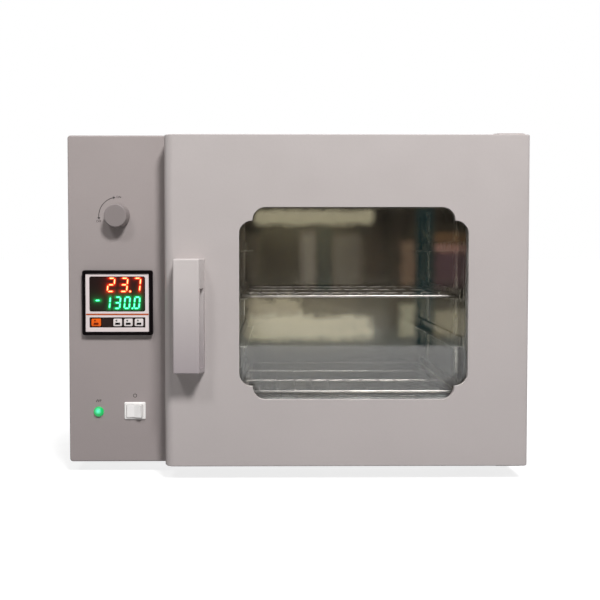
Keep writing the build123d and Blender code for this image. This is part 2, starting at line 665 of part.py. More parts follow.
# ---------------------------------------------------------------- air path, fan, heater
def intake_duct():
    """Fresh air tube from the column into the side duct, bored for the damper spindle."""
    x = (INTAKE_END, DUCT_LEFT)
    body = rod_x(x, INTAKE_DEPTH, INTAKE_Z, INTAKE_RADIUS, HIDDEN_FLATS)
    body -= rod_x(x, INTAKE_DEPTH, INTAKE_Z, INTAKE_RADIUS - INTAKE_WALL, HIDDEN_FLATS)
    y = (INTAKE_DEPTH - INTAKE_RADIUS - LAP, INTAKE_DEPTH + INTAKE_RADIUS + LAP)
    return body - rod_y(CONTROL_X, y, INTAKE_Z, SPINDLE_RADIUS + BODY_GAP, FLATS)


def exhaust_pipe():
    """Pipe from the duct's rear wall to a stub behind the cabinet."""
    y = (CHAMBER_Y[1], CASE_DEPTH + VENT_STUB)
    body = rod_y(EXHAUST_X, y, EXHAUST_Z, EXHAUST_RADIUS + EXHAUST_WALL)
    body -= rod_y(EXHAUST_X, y, EXHAUST_Z, EXHAUST_RADIUS)
    bead = (CASE_DEPTH, CASE_DEPTH + EXHAUST_WALL)
    collar = rod_y(EXHAUST_X, bead, EXHAUST_Z, EXHAUST_RADIUS + 4 * EXHAUST_WALL)
    return body + (collar - rod_y(EXHAUST_X, bead, EXHAUST_Z, EXHAUST_RADIUS + EXHAUST_WALL))


def damper_disc():
    """Butterfly disc across the intake tube, on a hub round the spindle."""
    radius = INTAKE_RADIUS - INTAKE_WALL - DAMPER_CLEARANCE
    x = (CONTROL_X - DAMPER_THICKNESS / 2, CONTROL_X + DAMPER_THICKNESS / 2)
    body = rod_x(x, INTAKE_DEPTH, INTAKE_Z, radius, HIDDEN_FLATS)
    reach = 0.9 * math.sqrt(radius ** 2 - DAMPER_HUB ** 2)
    y = (INTAKE_DEPTH - reach, INTAKE_DEPTH + reach)
    body += rod_y(CONTROL_X, y, INTAKE_Z, DAMPER_HUB, FLATS)
    across = (INTAKE_DEPTH - INTAKE_RADIUS, INTAKE_DEPTH + INTAKE_RADIUS)
    return body - rod_y(CONTROL_X, across, INTAKE_Z, SPINDLE_RADIUS)


def vent_spindle():
    """Shaft from the knob through the bush and the damper."""
    y = (-KNOB_GAP - KNOB_LENGTH * KNOB_GRIP, INTAKE_DEPTH + INTAKE_RADIUS + 2 * SPINDLE_RADIUS)
    return rod_y(CONTROL_X, y, INTAKE_Z, SPINDLE_RADIUS)


def vent_knob():
    """Plain tapered knob with a softened edge, and a blind bore for the spindle."""
    cone = Cone(KNOB_BASE_RADIUS, KNOB_RADIUS, KNOB_LENGTH, align=(Align.CENTER, Align.CENTER, Align.MIN))
    body = Pos(CONTROL_X, -KNOB_GAP, INTAKE_Z) * Rot(90, 0, 0) * cone
    rim = edges_at(body, Axis.Y, -KNOB_GAP - KNOB_LENGTH)
    body = fillet(rim, KNOB_EDGE)
    bore = (-KNOB_GAP - KNOB_LENGTH * KNOB_GRIP, -KNOB_GAP)
    return body - rod_y(CONTROL_X, bore, INTAKE_Z, SPINDLE_RADIUS)


def spindle_bush():
    """Bush through the fascia with a thin front flange and a nut behind."""
    body = rod_y(CONTROL_X, (-KNOB_GAP / 2, TRAY_DEPTH), INTAKE_Z, BUSH_RADIUS)
    body += rod_y(CONTROL_X, (-KNOB_GAP / 2, 0), INTAKE_Z, BUSH_RADIUS + 2)
    nut = slab(Pos(CONTROL_X, INTAKE_Z) * RegularPolygon(BUSH_RADIUS + 3.5, 6), (SHEET, SHEET + 3))
    body += nut
    return body - rod_y(CONTROL_X, (-1, TRAY_DEPTH), INTAKE_Z, SPINDLE_RADIUS + RUNNING_FIT)


def fan_span():
    """The fan wheel's limits along its axis."""
    left = DUCT_LEFT + FAN_CLEARANCE
    return left, left + FAN_BLADE_WIDTH + 2 * FAN_PLATE


def fan_wheel():
    """Backward leaning centrifugal wheel: back plate, blades, front ring and hub."""
    left, right = fan_span()
    body = rod_x((left, left + FAN_PLATE), FAN_Y, FAN_Z, FAN_RADIUS, 2 * FAN_BLADES)
    ring = rod_x((right - FAN_PLATE, right), FAN_Y, FAN_Z, FAN_RADIUS, 2 * FAN_BLADES)
    body += ring - rod_x((right - FAN_PLATE, right), FAN_Y, FAN_Z, FAN_INNER, FAN_BLADES)
    turn = math.radians(FAN_BLADE_TURN)
    tip, root = FAN_RADIUS - FAN_PLATE, (FAN_INNER * math.cos(turn), FAN_INNER * math.sin(turn))
    length = math.hypot(tip - root[0], root[1])
    lean = math.degrees(math.atan2(-root[1], tip - root[0]))
    blade = Box(length, FAN_PLATE, FAN_BLADE_WIDTH + FAN_PLATE, align=(Align.MIN, Align.CENTER, Align.MIN))
    blade = Pos(*root) * Rot(0, 0, lean) * blade
    for number in range(FAN_BLADES):
        turned = Rot(0, 0, 360 * number / FAN_BLADES) * blade
        body += Pos(left + FAN_PLATE / 2, FAN_Y, FAN_Z) * Rot(0, 90, 0) * turned
    hub = (left - FAN_CLEARANCE / 2, left + FAN_BLADE_WIDTH / 2)
    body += rod_x(hub, FAN_Y, FAN_Z, 2.5 * SHAFT_RADIUS, FLATS)
    return body - rod_x((left - FAN_CLEARANCE, right), FAN_Y, FAN_Z, SHAFT_RADIUS)


def fan_shaft():
    """Motor shaft through the left wall to the fan wheel."""
    left = fan_span()[0]
    x = (MOTOR_FACE - MOTOR_LENGTH - 2 * SHAFT_RADIUS, left + FAN_BLADE_WIDTH / 2)
    return rod_x(x, FAN_Y, FAN_Z, SHAFT_RADIUS)


def fan_motor():
    """Shaded pole motor: can with a thicker stack and an end boss, bored for its shaft."""
    x = (MOTOR_FACE - MOTOR_LENGTH, MOTOR_FACE)
    body = rod_x(x, FAN_Y, FAN_Z, MOTOR_RADIUS, HIDDEN_FLATS)
    third = MOTOR_LENGTH / 3
    body += rod_x((x[0] + third, x[1] - third), FAN_Y, FAN_Z, MOTOR_RADIUS + 2 * SHEET, HIDDEN_FLATS)
    body += rod_x((x[0] - SHAFT_RADIUS, x[0]), FAN_Y, FAN_Z, 2.5 * SHAFT_RADIUS, FLATS)
    bore = (x[0] - SHAFT_RADIUS, x[1])
    return body - rod_x(bore, FAN_Y, FAN_Z, SHAFT_RADIUS + RUNNING_FIT)


def motor_bracket():
    """Square plate that holds the motor on the partition, with folded ears."""
    half = MOTOR_RADIUS + LAP
    x = (MOTOR_FACE, PARTITION_X)
    plate = block(x, (FAN_Y - half, FAN_Y + half), (FAN_Z - half, FAN_Z + half))
    for y in (FAN_Y - half, FAN_Y + half - MOTOR_PLATE):
        ear = (FAN_Z - half / 2, FAN_Z + half / 2)
        plate += block((MOTOR_FACE - 2 * LAP, PARTITION_X), (y, y + MOTOR_PLATE), ear)
    return plate - rod_x(x, FAN_Y, FAN_Z, 2 * SHAFT_RADIUS, FLATS)


def heater_ends():
    """Where the heating tube turns into the wall, below the fan."""
    half = math.radians(HEATER_GAP_ANGLE / 2)
    across, down = HEATER_RADIUS * math.sin(half), HEATER_RADIUS * math.cos(half)
    return [(FAN_Y - across, FAN_Z - down), (FAN_Y + across, FAN_Z - down)]


def heating_element():
    """Sheathed tube bent round the fan wheel, its ends led out through the left wall."""
    count = HIDDEN_FLATS
    turn = (360 - HEATER_GAP_ANGLE) / count
    corners = []
    for number in range(count + 1):
        angle = math.radians(-90 + HEATER_GAP_ANGLE / 2 + turn * number)
        corners.append((FAN_Y + HEATER_RADIUS * math.cos(angle), FAN_Z + HEATER_RADIUS * math.sin(angle)))
    route = Plane(origin=(HEATER_X, 0, 0), x_dir=(0, 1, 0), z_dir=(1, 0, 0)) * Polyline(*corners)
    start = Plane(origin=route @ 0, x_dir=(1, 0, 0), z_dir=route % 0)
    section = start * RegularPolygon(HEATER_TUBE, WIRE_FLATS, major_radius=False)
    body = sweep(section, path=route, transition=Transition.RIGHT)
    for y, z in heater_ends():
        body += rod_x((PARTITION_X - 2 * LAP, HEATER_X + HEATER_TUBE), y, z, HEATER_TUBE, WIRE_FLATS)
    return body


def temperature_probe():
    """Sheathed sensor through the left wall, with its gland nut on the partition."""
    tube = (PARTITION_X - 3 * LAP, CHAMBER_X[0] - LINER - PROBE_RADIUS)
    body = rod_x(tube, PROBE_Y, PROBE_Z, PROBE_RADIUS, FLATS)
    return body + rod_x((PARTITION_X - LAP, PARTITION_X), PROBE_Y, PROBE_Z, 3 * PROBE_RADIUS, WIRE_FLATS)


def solid_state_relay():
    """Relay block on a finned heat sink that stands on the base plate."""
    x, y = RELAY_X, RELAY_Y
    top = BASE_TOP + RELAY_SINK_HEIGHT
    sink = block(x, y, (BASE_TOP, BASE_TOP + RELAY_SINK_FLOOR)) + block(x, y, (top - RELAY_SINK_ROOF, top))
    for fin in range(RELAY_FINS):
        left = x[0] + fin * (x[1] - x[0] - RELAY_FIN) / (RELAY_FINS - 1)
        sink += block((left, left + RELAY_FIN), y, (BASE_TOP, top))
    across = (x[0] + RELAY_INSET[0], x[1] - RELAY_INSET[0])
    along = (y[0] + RELAY_INSET[1], y[1] - RELAY_INSET[1])
    relay = block(across, along, (top, top + RELAY_HEIGHT))
    return sink + chamfer(relay.edges().filter_by(Axis.Z), EDGE_ROUND)


def terminal_block():
    """Row of terminals with dividing ribs."""
    x, y = TERMINAL_X, TERMINAL_Y
    body = block(x, y, (BASE_TOP, BASE_TOP + TERMINAL_HEIGHT))
    for rib in range(TERMINALS + 1):
        start = y[0] + rib * (y[1] - y[0] - TERMINAL_RIB) / TERMINALS
        body += block(x, (start, start + TERMINAL_RIB), (BASE_TOP, BASE_TOP + TERMINAL_RIB_HEIGHT))
    return body


def power_inlet():
    """Mains inlet: flange outside the rear cover, body inside, socket with three blades."""
    y = (CASE_DEPTH - INLET_DEPTH, CASE_DEPTH)
    middle = (INLET_X, INLET_Z)
    body = slab(panel(middle, (INLET_WIDTH, INLET_HEIGHT)), y)
    flange = panel(middle, (INLET_WIDTH + 2 * INLET_RIM, INLET_HEIGHT + 2 * INLET_RIM), INLET_RIM)
    body += slab(flange, (CASE_DEPTH, CASE_DEPTH + INLET_FLANGE))
    socket = panel(middle, (INLET_WIDTH - 2 * INLET_WALL, INLET_HEIGHT - 2 * INLET_WALL))
    socket = chamfer(socket.vertices().group_by(Axis.Y)[-1], 3 * INLET_WALL)
    floor = CASE_DEPTH - INLET_DEPTH + 2 * INLET_WALL
    body -= slab(socket, (floor, CASE_DEPTH + INLET_FLANGE))
    for dx, dz in INLET_BLADES:
        blade = panel((INLET_X + dx, INLET_Z + dz), INLET_BLADE)
        body += slab(blade, (floor, CASE_DEPTH))
    return body


# ---------------------------------------------------------------- door
def door_box(inset):
    """The door's outer form moved in by inset, open to the back."""
    body = block((DOOR_X[0] + inset, DOOR_X[1] - inset), (DOOR_Y[0] + inset, DOOR_Y[1]),
                 (DOOR_Z[0] + inset, DOOR_Z[1] - inset))
    left = edges_at(body, Axis.X, DOOR_X[0] + inset).filter_by(Axis.Z).sort_by(Axis.Y)[0]
    body = fillet(left, DOOR_BEND_LEFT - inset)
    right = edges_at(body, Axis.X, DOOR_X[1] - inset).filter_by(Axis.Z).sort_by(Axis.Y)[0]
    return fillet(right, DOOR_BEND_RIGHT - inset)


def door_shell():
    """Pressed outer door: bent edges, scalloped opening with a lip rolled in to the glass."""
    outside = door_box(0)
    ends = outside.faces().sort_by(Axis.Z)
    rims = ends[0].edges() + ends[-1].edges()
    rims = rims.filter_by(lambda edge: edge.center().Y < DOOR_Y[1] - DOOR_THICKNESS / 2 - 1)
    outside = chamfer(rims, EDGE_ROUND / 2)
    body = outside - door_box(SHEET)
    lip = window_outline(SHEET) - window_outline()
    body -= slab(window_outline(), (DOOR_Y[0], DOOR_Y[0] + SHEET))
    body += slab(lip, (DOOR_Y[0] + SHEET / 2, GLASS_FRONT))
    for z in (DOOR_Z[0], DOOR_Z[1] - SHEET):
        body -= rod_z(HINGE_X, HINGE_Y, (z, z + SHEET), PIN_RADIUS + BUSH_WALL)
    for z in handle_screw_places():
        through = (DOOR_Y[0], DOOR_Y[0] + SHEET)
        body -= rod_y(HANDLE_X, through, z, HANDLE_SCREW_RADIUS + SCREW_CLEARANCE, FLATS)
    return body


def glass(y):
    """Pane behind the window opening."""
    return slab(window_rectangle(GLASS_MARGIN), y)


def glass_outer():
    """Outer pane, against the rolled lip."""
    return glass((GLASS_FRONT, GLASS_FRONT + GLASS))


def glass_inner():
    """Inner pane, against the inner panel."""
    return glass((PANEL_FRONT - GLASS, PANEL_FRONT))


def window_frame():
    """Frame round both panes, with the spacer between them."""
    edge = GLASS_MARGIN + GLASS_CLEARANCE
    around = window_rectangle(edge + FRAME_WALL) - window_rectangle(edge)
    spacer = window_rectangle(edge + FRAME_WALL) - window_rectangle(FRAME_COVER)
    body = slab(around, (GLASS_FRONT, PANEL_FRONT))
    return body + slab(spacer, (GLASS_FRONT + GLASS, PANEL_FRONT - GLASS))


def door_inner_panel():
    """Stainless inner panel that closes the shell round the inner pane."""
    x = (DOOR_X[0] + SHEET, DOOR_X[1] - SHEET)
    z = (DOOR_Z[0] + SHEET, DOOR_Z[1] - SHEET)
    outline = span(x, z) - window_rectangle(FRAME_COVER, WINDOW_CORNER)
    return slab(outline, (PANEL_FRONT, DOOR_Y[1]))


def door_insulation():
    """Glass wool between the shell and the window frame."""
    grow = GLASS_MARGIN + GLASS_CLEARANCE + FRAME_WALL + INNER_GAP
    x = (DOOR_X[0] + DOOR_BEND_LEFT, DOOR_X[1] - DOOR_BEND_RIGHT)
    z = (DOOR_Z[0] + SHEET + INNER_GAP, DOOR_Z[1] - SHEET - INNER_GAP)
    y = (DOOR_Y[0] + SHEET + INNER_GAP, PANEL_FRONT - INNER_GAP)
    body = slab(span(x, z) - window_rectangle(grow), y)
    corner_x = (HINGE_X - 2 * HINGE_AXIS_INSET, DOOR_X[1])
    reach = hinge_block_height() + SHEET + INNER_GAP
    body -= block(corner_x, DOOR_Y, (DOOR_Z[0], DOOR_Z[0] + reach))
    body -= block(corner_x, DOOR_Y, (DOOR_Z[1] - reach, DOOR_Z[1]))
    for z in handle_screw_places():
        head = (y[0], y[0] + 3 * HANDLE_SCREW_RADIUS)
        body -= rod_y(HANDLE_X, head, z, 3 * HANDLE_SCREW_RADIUS, FLATS)
    return body


def hinge_block_height():
    """Height of the steel blocks that hold the hinge bushes in the door."""
    return PIN_REACH + 2 * BUSH_WALL


def door_ends():
    """For the bottom and the top of the door: its end level, and the way into the door."""
    return ((DOOR_Z[0], 1), (DOOR_Z[1], -1))


def hinge_blocks():
    """Steel blocks in the shell's right corners, bored for the bushes."""
    blocks = []
    for level, way in door_ends():
        z = sorted((level + way * SHEET, level + way * (SHEET + hinge_block_height())))
        x = (HINGE_X - PIN_RADIUS - 2 * BUSH_WALL, DOOR_X[1] - SHEET - RUNNING_FIT)
        y = (DOOR_Y[0] + SHEET + RUNNING_FIT, HINGE_Y + PIN_RADIUS + 2 * BUSH_WALL)
        body = block(x, y, z)
        corner = body.edges().filter_by(Axis.Z).sort_by(Axis.X)[-2:].sort_by(Axis.Y)[0]
        body = fillet(corner, DOOR_BEND_RIGHT - SHEET)
        blocks.append(body - rod_z(HINGE_X, HINGE_Y, z, PIN_RADIUS + BUSH_WALL))
    return blocks


def hinge_bushes():
    """Flanged bushes that run on the hinge pins."""
    bushes = []
    for level, way in door_ends():
        z = sorted((level, level + way * (PIN_REACH + BUSH_WALL)))
        rim = sorted((level, level - way * BUSH_FLANGE))
        body = rod_z(HINGE_X, HINGE_Y, z, PIN_RADIUS + BUSH_WALL)
        body += rod_z(HINGE_X, HINGE_Y, rim, PIN_RADIUS + BUSH_WALL + 1)
        bore = sorted((level - way * BUSH_FLANGE, level + way * (PIN_REACH + BUSH_FLANGE)))
        bushes.append(body - rod_z(HINGE_X, HINGE_Y, bore, PIN_RADIUS + RUNNING_FIT))
    return bushes


def bracket_span(level, way):
    """Limits in Z of a bracket's plate, from its outer face to the one beside the bush."""
    inner = DOOR_END_MARGIN - BUSH_FLANGE - BODY_GAP
    return level + way * (inner - BRACKET_PLATE), level + way * inner


def hinge_brackets():
    """Angle brackets on the front frame, above and below the door."""
    brackets = []
    x = (CASE_WIDTH - BRACKET_WIDTH, CASE_WIDTH)
    for level, way in ((0, 1), (CASE_HEIGHT, -1)):
        z = sorted(bracket_span(level, way))
        front = HINGE_Y - PIN_RADIUS - BUSH_WALL
        plate = block(x, (front, 0), z)
        fore = plate.edges().filter_by(Axis.Z).group_by(Axis.Y)[0]
        plate = chamfer(fore, PIN_RADIUS + BUSH_WALL / 2)
        leg = sorted((bracket_span(level, way)[0], level + way * BRACKET_LEG_HEIGHT))
        body = plate + block(x, (-BRACKET_LEG, 0), leg)
        brackets.append(body - rod_z(HINGE_X, HINGE_Y, z, PIN_RADIUS))
    return brackets


def hinge_pins():
    """Pins pressed in the brackets, reaching into the door's bushes."""
    pins = []
    for end, way in ((0, 1), (CASE_HEIGHT, -1)):
        z = sorted((bracket_span(end, way)[0], end + way * (DOOR_END_MARGIN + PIN_REACH)))
        pins.append(rod_z(HINGE_X, HINGE_Y, z, PIN_RADIUS))
    return pins


def door_gasket():
    """Silicone ring on the front frame, rounded towards the door."""
    ring = mouth_outline(GASKET_MARGIN + GASKET_WIDTH) - mouth_outline(GASKET_MARGIN)
    front = -DOOR_GAP + GASKET_GAP
    body = slab(ring, (front, 0))
    edges = edges_at(body, Axis.Y, front)
    return chamfer(edges, GASKET_WIDTH / 4)


def keeper_plate():
    """Steel strike on the door's back, facing the magnet."""
    y = (-DOOR_GAP, -DOOR_GAP + KEEPER)
    return slab(panel((CATCH_X, HANDLE_Z), (CATCH_WIDTH, CATCH_HEIGHT), 2), y)


def catch_magnet():
    """Magnet in its housing, set in the front frame."""
    y = (-CATCH_PROUD, SHEET + LAP)
    size = (CATCH_WIDTH, CATCH_HEIGHT)
    return slab(panel((CATCH_X, HANDLE_Z), size), y)


def handle_screw_places():
    """Heights of the two screws that hold the handle."""
    reach = HANDLE_HEIGHT / 2 - HANDLE_SCREW_END
    return (HANDLE_Z + HANDLE_HEIGHT / 2 - HANDLE_SCREW_END / 2, HANDLE_Z - reach)


def handle_grip():
    """Moulded pull: a block narrowed to the front, with a finger recess open to the right."""
    rear, front = DOOR_Y[0], DOOR_Y[0] - HANDLE_PROJECTION
    low, high = HANDLE_Z - HANDLE_HEIGHT / 2, HANDLE_Z + HANDLE_HEIGHT / 2
    left, right = HANDLE_X - HANDLE_WIDTH / 2, HANDLE_X + HANDLE_WIDTH / 2
    side = Polyline((rear, low), (rear, high), (front, high), (front, low + HANDLE_TAPER), close=True)
    body = Pos(left, 0, 0) * extrude(Plane.YZ * make_face(side), amount=HANDLE_WIDTH)
    above = Polyline((left, rear), (right, rear), (right - 1.5 * HANDLE_TAPER, front),
                     (left + 0.5 * HANDLE_TAPER, front), close=True)
    body &= Pos(0, 0, low) * extrude(make_face(above), amount=HANDLE_HEIGHT)
    body = fillet(body.edges().filter_by(lambda edge: edge.center().Y < rear - 1), EDGE_ROUND)
    recess = block((left + GRIP_SPINE, right + 1), (front + GRIP_PLATE, rear - GRIP_RIM),
                   (low + RECESS_BOTTOM, high - RECESS_TOP))
    inner = recess.faces().sort_by(Axis.X)[0].edges()
    body -= chamfer(inner, GRIP_SPINE / 2)
    for z in handle_screw_places():
        body -= rod_y(HANDLE_X, (rear - GRIP_RIM, rear), z, HANDLE_SCREW_RADIUS, FLATS)
    return body


def handle_screws():
    """Screws from inside the door into the handle."""
    screws = []
    inside = DOOR_Y[0] + SHEET
    for z in handle_screw_places():
        shank = rod_y(HANDLE_X, (DOOR_Y[0] - GRIP_RIM, inside), z, HANDLE_SCREW_RADIUS, FLATS)
        head = (inside, inside + HANDLE_SCREW_RADIUS)
        screws.append(shank + rod_y(HANDLE_X, head, z, 2 * HANDLE_SCREW_RADIUS, FLATS))
    return screws


# ---------------------------------------------------------------- temperature controller
def display_panel(shrink=0.0):
    """Outline of the display window."""
    size = (DISPLAY_WIDTH - 2 * shrink, DISPLAY_HEIGHT - 2 * shrink)
    return panel((CONTROL_X, CONTROLLER_Z + DISPLAY_RISE), size, DISPLAY_CORNER)


def keys_panel():
    """Outline of the strip that holds the keys."""
    return panel((CONTROL_X, CONTROLLER_Z - KEYS_DROP), (DISPLAY_WIDTH, KEYS_HEIGHT))


def key_places():
    """Name, middle and width of each key."""
    places = [("key_set", CONTROL_X + SET_KEY, SET_KEY_WIDTH)]
    for number, name in enumerate(("key_left", "key_down", "key_up")):
        x = CONTROL_X + LAST_KEY - (2 - number) * KEY_PITCH
        places.append((name, x, KEY_WIDTH))
    return places


def controller_case():
    """Case behind the fascia with the front bezel that stands proud of it."""
    middle = (CONTROL_X, CONTROLLER_Z)
    bezel = panel(middle, (CONTROLLER_WIDTH, CONTROLLER_HEIGHT), CONTROLLER_CORNER)
    body = slab(bezel, (-CONTROLLER_PROUD, 0))
    front = edges_at(body, Axis.Y, -CONTROLLER_PROUD)
    body = chamfer(front, FACE_RECESS)
    size = (CONTROLLER_BODY_WIDTH, CONTROLLER_BODY_HEIGHT)
    body += slab(panel(middle, size), (0, CONTROLLER_BODY_DEPTH))
    body -= slab(panel(middle, (FACE_WIDTH, FACE_HEIGHT)), (-CONTROLLER_PROUD, FACE_BACK))
    cavity = (DISPLAY_WIDTH + 2 * PLATE, FACE_HEIGHT - 2 * PLATE)
    return body - slab(panel(middle, cavity), (FACE_BACK, CONTROLLER_BODY_DEPTH - PLATE))


def controller_faceplate():
    """Light face plate with the openings of the display and the keys."""
    outline = panel((CONTROL_X, CONTROLLER_Z), (FACE_WIDTH, FACE_HEIGHT))
    return slab(outline - display_panel() - keys_panel(), (FACE_FRONT, FACE_BACK))


def display_lens():
    """Dark window over the digits, a little proud of the face plate."""
    body = slab(display_panel(), (FACE_FRONT - 0.3, FACE_BACK))
    front = edges_at(body, Axis.Y, FACE_FRONT - 0.3)
    return chamfer(front, 0.25)


def key_surround():
    """Dark strip with a hole for each key."""
    body = slab(keys_panel(), (FACE_FRONT + 0.4, FACE_BACK))
    for _, x, width in key_places():
        hole = (width + 2 * BODY_GAP, KEY_HEIGHT + 2 * BODY_GAP)
        body -= slab(panel((x, CONTROLLER_Z - KEYS_DROP), hole), (FACE_FRONT, FACE_BACK))
    return body


def board_front():
    """Depth of the circuit board behind the key stems."""
    return FACE_BACK + BODY_GAP + KEY_FLANGE + KEY_STEM + KEY_TRAVEL + BODY_GAP


def key(x, width):
    """Key cap with a retaining flange behind the strip and a stem to its switch."""
    middle = (x, CONTROLLER_Z - KEYS_DROP)
    flange_front = FACE_BACK + BODY_GAP
    cap = slab(panel(middle, (width, KEY_HEIGHT)), (FACE_FRONT - KEY_PROUD, flange_front))
    rim = edges_at(cap, Axis.Y, FACE_FRONT - KEY_PROUD)
    cap = chamfer(rim, KEY_PROUD / 2)
    grown = (width + KEY_PITCH - KEY_WIDTH - BODY_GAP, KEY_HEIGHT + 1.3)
    flange_back = flange_front + KEY_FLANGE
    body = cap + slab(panel(middle, grown), (flange_front, flange_back))
    return body + rod_y(x, (flange_back, flange_back + KEY_STEM), middle[1], KEY_STEM, FLATS)


def display_module():
    """Circuit board with the display block that stands behind the lens."""
    middle = (CONTROL_X, CONTROLLER_Z)
    size = (DISPLAY_WIDTH + 2 * PLATE, FACE_HEIGHT - 2 * PLATE)
    board = (board_front(), board_front() + 1.6)
    body = slab(panel(middle, size), board)
    return body + slab(display_panel(3), (FACE_BACK, board[0]))


# ---------------------------------------------------------------- switch and lamp
def rocker_profile():
    """Rocker seen from above: a circle about the pivot, cut by a shallow valley in front."""
    wide = 2 * ROCKER_RADIUS
    slope = (ROCKER_CREST - ROCKER_VALLEY) / ROCKER_RADIUS
    far = ROCKER_VALLEY + slope * wide
    limits = Polyline((0, -ROCKER_VALLEY), (wide, -far), (wide, ROCKER_BACK), (-wide, ROCKER_BACK),
                      (-wide, -far), close=True)
    return Circle(ROCKER_RADIUS) & make_face(limits)


def switch_rocker():
    """Rocker at rest with its left side pressed, on two trunnions."""
    half = ROCKER_HEIGHT / 2
    body = extrude(Plane.XY.offset(-half) * rocker_profile(), amount=ROCKER_HEIGHT)
    body += rod_z(0, 0, (-half - TRUNNION_LENGTH, half + TRUNNION_LENGTH), TRUNNION_RADIUS)
    return Pos(SWITCH_X, 0, SWITCH_Z) * Rot(0, 0, -ROCKER_TILT) * body


def switch_housing():
    """Snap-in housing with a front bezel and holes for the rocker's trunnions."""
    middle = (SWITCH_X, SWITCH_Z)
    body = slab(panel(middle, (SWITCH_WIDTH, SWITCH_HEIGHT), 2), (-SWITCH_BEZEL, 0))
    front = edges_at(body, Axis.Y, -SWITCH_BEZEL)
    body = chamfer(front, SWITCH_BEZEL / 2)
    size = (SWITCH_BODY_WIDTH, SWITCH_BODY_HEIGHT)
    body += slab(panel(middle, size), (0, SWITCH_BODY_DEPTH))
    well = (2 * (ROCKER_RADIUS + BODY_GAP), ROCKER_HEIGHT + 2 * BODY_GAP)
    body -= slab(panel(middle, well), (-SWITCH_BEZEL, ROCKER_RADIUS + BODY_GAP))
    reach = ROCKER_HEIGHT / 2 + TRUNNION_LENGTH + BODY_GAP
    z = (SWITCH_Z - reach, SWITCH_Z + reach)
    return body - rod_z(SWITCH_X, 0, z, TRUNNION_RADIUS + RUNNING_FIT)


def indicator_lens():
    """Domed lens with a stem through the fascia."""
    sphere_radius = (LAMP_RADIUS ** 2 + LAMP_DOME ** 2) / (2 * LAMP_DOME)
    edge = math.asin(LAMP_RADIUS / sphere_radius)
    profile = [(0, 0)]
    for ring in range(LAMP_RINGS + 1):
        angle = edge * (1 - ring / LAMP_RINGS)
        height = sphere_radius * math.cos(angle) - sphere_radius + LAMP_DOME
        profile.append((sphere_radius * math.sin(angle), height))
    dome = revolve(Plane.XZ * make_face(Polyline(*profile, close=True)), Axis.Z)
    dome = Pos(LAMP_X, 0, LAMP_Z) * Rot(90, 0, 0) * dome
    return dome + rod_y(LAMP_X, (0, 3 * SHEET), LAMP_Z, LAMP_STEM)


def indicator_holder():
    """Lamp holder clipped on the lens stem behind the fascia."""
    body = rod_y(LAMP_X, (SHEET, 16 * SHEET), LAMP_Z, LAMP_STEM + 2, FLATS)
    return body - rod_y(LAMP_X, (SHEET, 3 * SHEET), LAMP_Z, LAMP_STEM)


# ---------------------------------------------------------------- all pieces by name
def pieces():
    """Every piece of the oven, as a solid or a list of solids, by node name."""
    made = {
        "outer_casing": outer_casing(), "base_plate": base_plate(), "rear_cover": rear_cover(),
        "control_fascia": control_fascia(), "front_frame": front_frame(),
        "partition_panel": partition_panel(), "rear_bulkhead": rear_bulkhead(),
        "insulation_jacket": insulation_jacket(), "case_screws": case_screws(),
        "rubber_feet": rubber_feet(), "foot_screws": foot_screws(),
        "chamber_liner": chamber_liner(), "duct_panel": duct_panel(),
        "rack_left": rack(CHAMBER_X[0], 1), "rack_right": rack(CHAMBER_X[1], -1),
        "shelf_lower": shelf(0), "shelf_upper": shelf(2),
        "intake_duct": intake_duct(), "exhaust_pipe": exhaust_pipe(),
        "damper_disc": damper_disc(), "vent_spindle": vent_spindle(),
        "vent_knob": vent_knob(), "spindle_bush": spindle_bush(),
        "fan_wheel": fan_wheel(), "fan_shaft": fan_shaft(), "fan_motor": fan_motor(),
        "motor_bracket": motor_bracket(), "heating_element": heating_element(),
        "temperature_probe": temperature_probe(), "solid_state_relay": solid_state_relay(),
        "terminal_block": terminal_block(), "power_inlet": power_inlet(),
        "door_shell": door_shell(), "door_inner_panel": door_inner_panel(),
        "door_insulation": door_insulation(), "window_frame": window_frame(),
        "glass_outer": glass_outer(), "glass_inner": glass_inner(),
        "handle_grip": handle_grip(), "handle_screws": handle_screws(),
        "keeper_plate": keeper_plate(), "catch_magnet": catch_magnet(),
        "hinge_blocks": hinge_blocks(), "hinge_bushes": hinge_bushes(),
        "hinge_brackets": hinge_brackets(), "hinge_pins": hinge_pins(),
        "door_gasket": door_gasket(),
        "controller_case": controller_case(), "controller_faceplate": controller_faceplate(),
        "display_lens": display_lens(), "key_surround": key_surround(),
        "display_module": display_module(),
        "switch_housing": switch_housing(), "switch_rocker": switch_rocker(),
        "indicator_lens": indicator_lens(), "indicator_holder": indicator_holder(),
    }
    for name, x, width in key_places():
        made[name] = key(x, width)
    return made


def write(name, shape):
    """Move a piece to the part's origin and write it as parts/NAME.step."""
    solids = shape if isinstance(shape, list) else shape.solids()
    moved = [TO_ORIGIN * solid for solid in solids]
    export_step(Compound(children=moved) if len(moved) > 1 else moved[0], f"parts/{name}.step")


os.makedirs("parts", exist_ok=True)
for piece_name, piece in pieces().items():
    write(piece_name, piece)
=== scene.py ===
"""Looks of a bench drying oven: finishes for its solids, printed marks, lit display and studio.

Lengths are metres, +Z is up and the door faces -Y, as in the frame that is loaded here.
"""

import logging
import math
from collections.abc import Callable, Sequence
from dataclasses import dataclass, field, replace
from enum import Enum

import bmesh
import bpy
from mathutils import Matrix, Vector


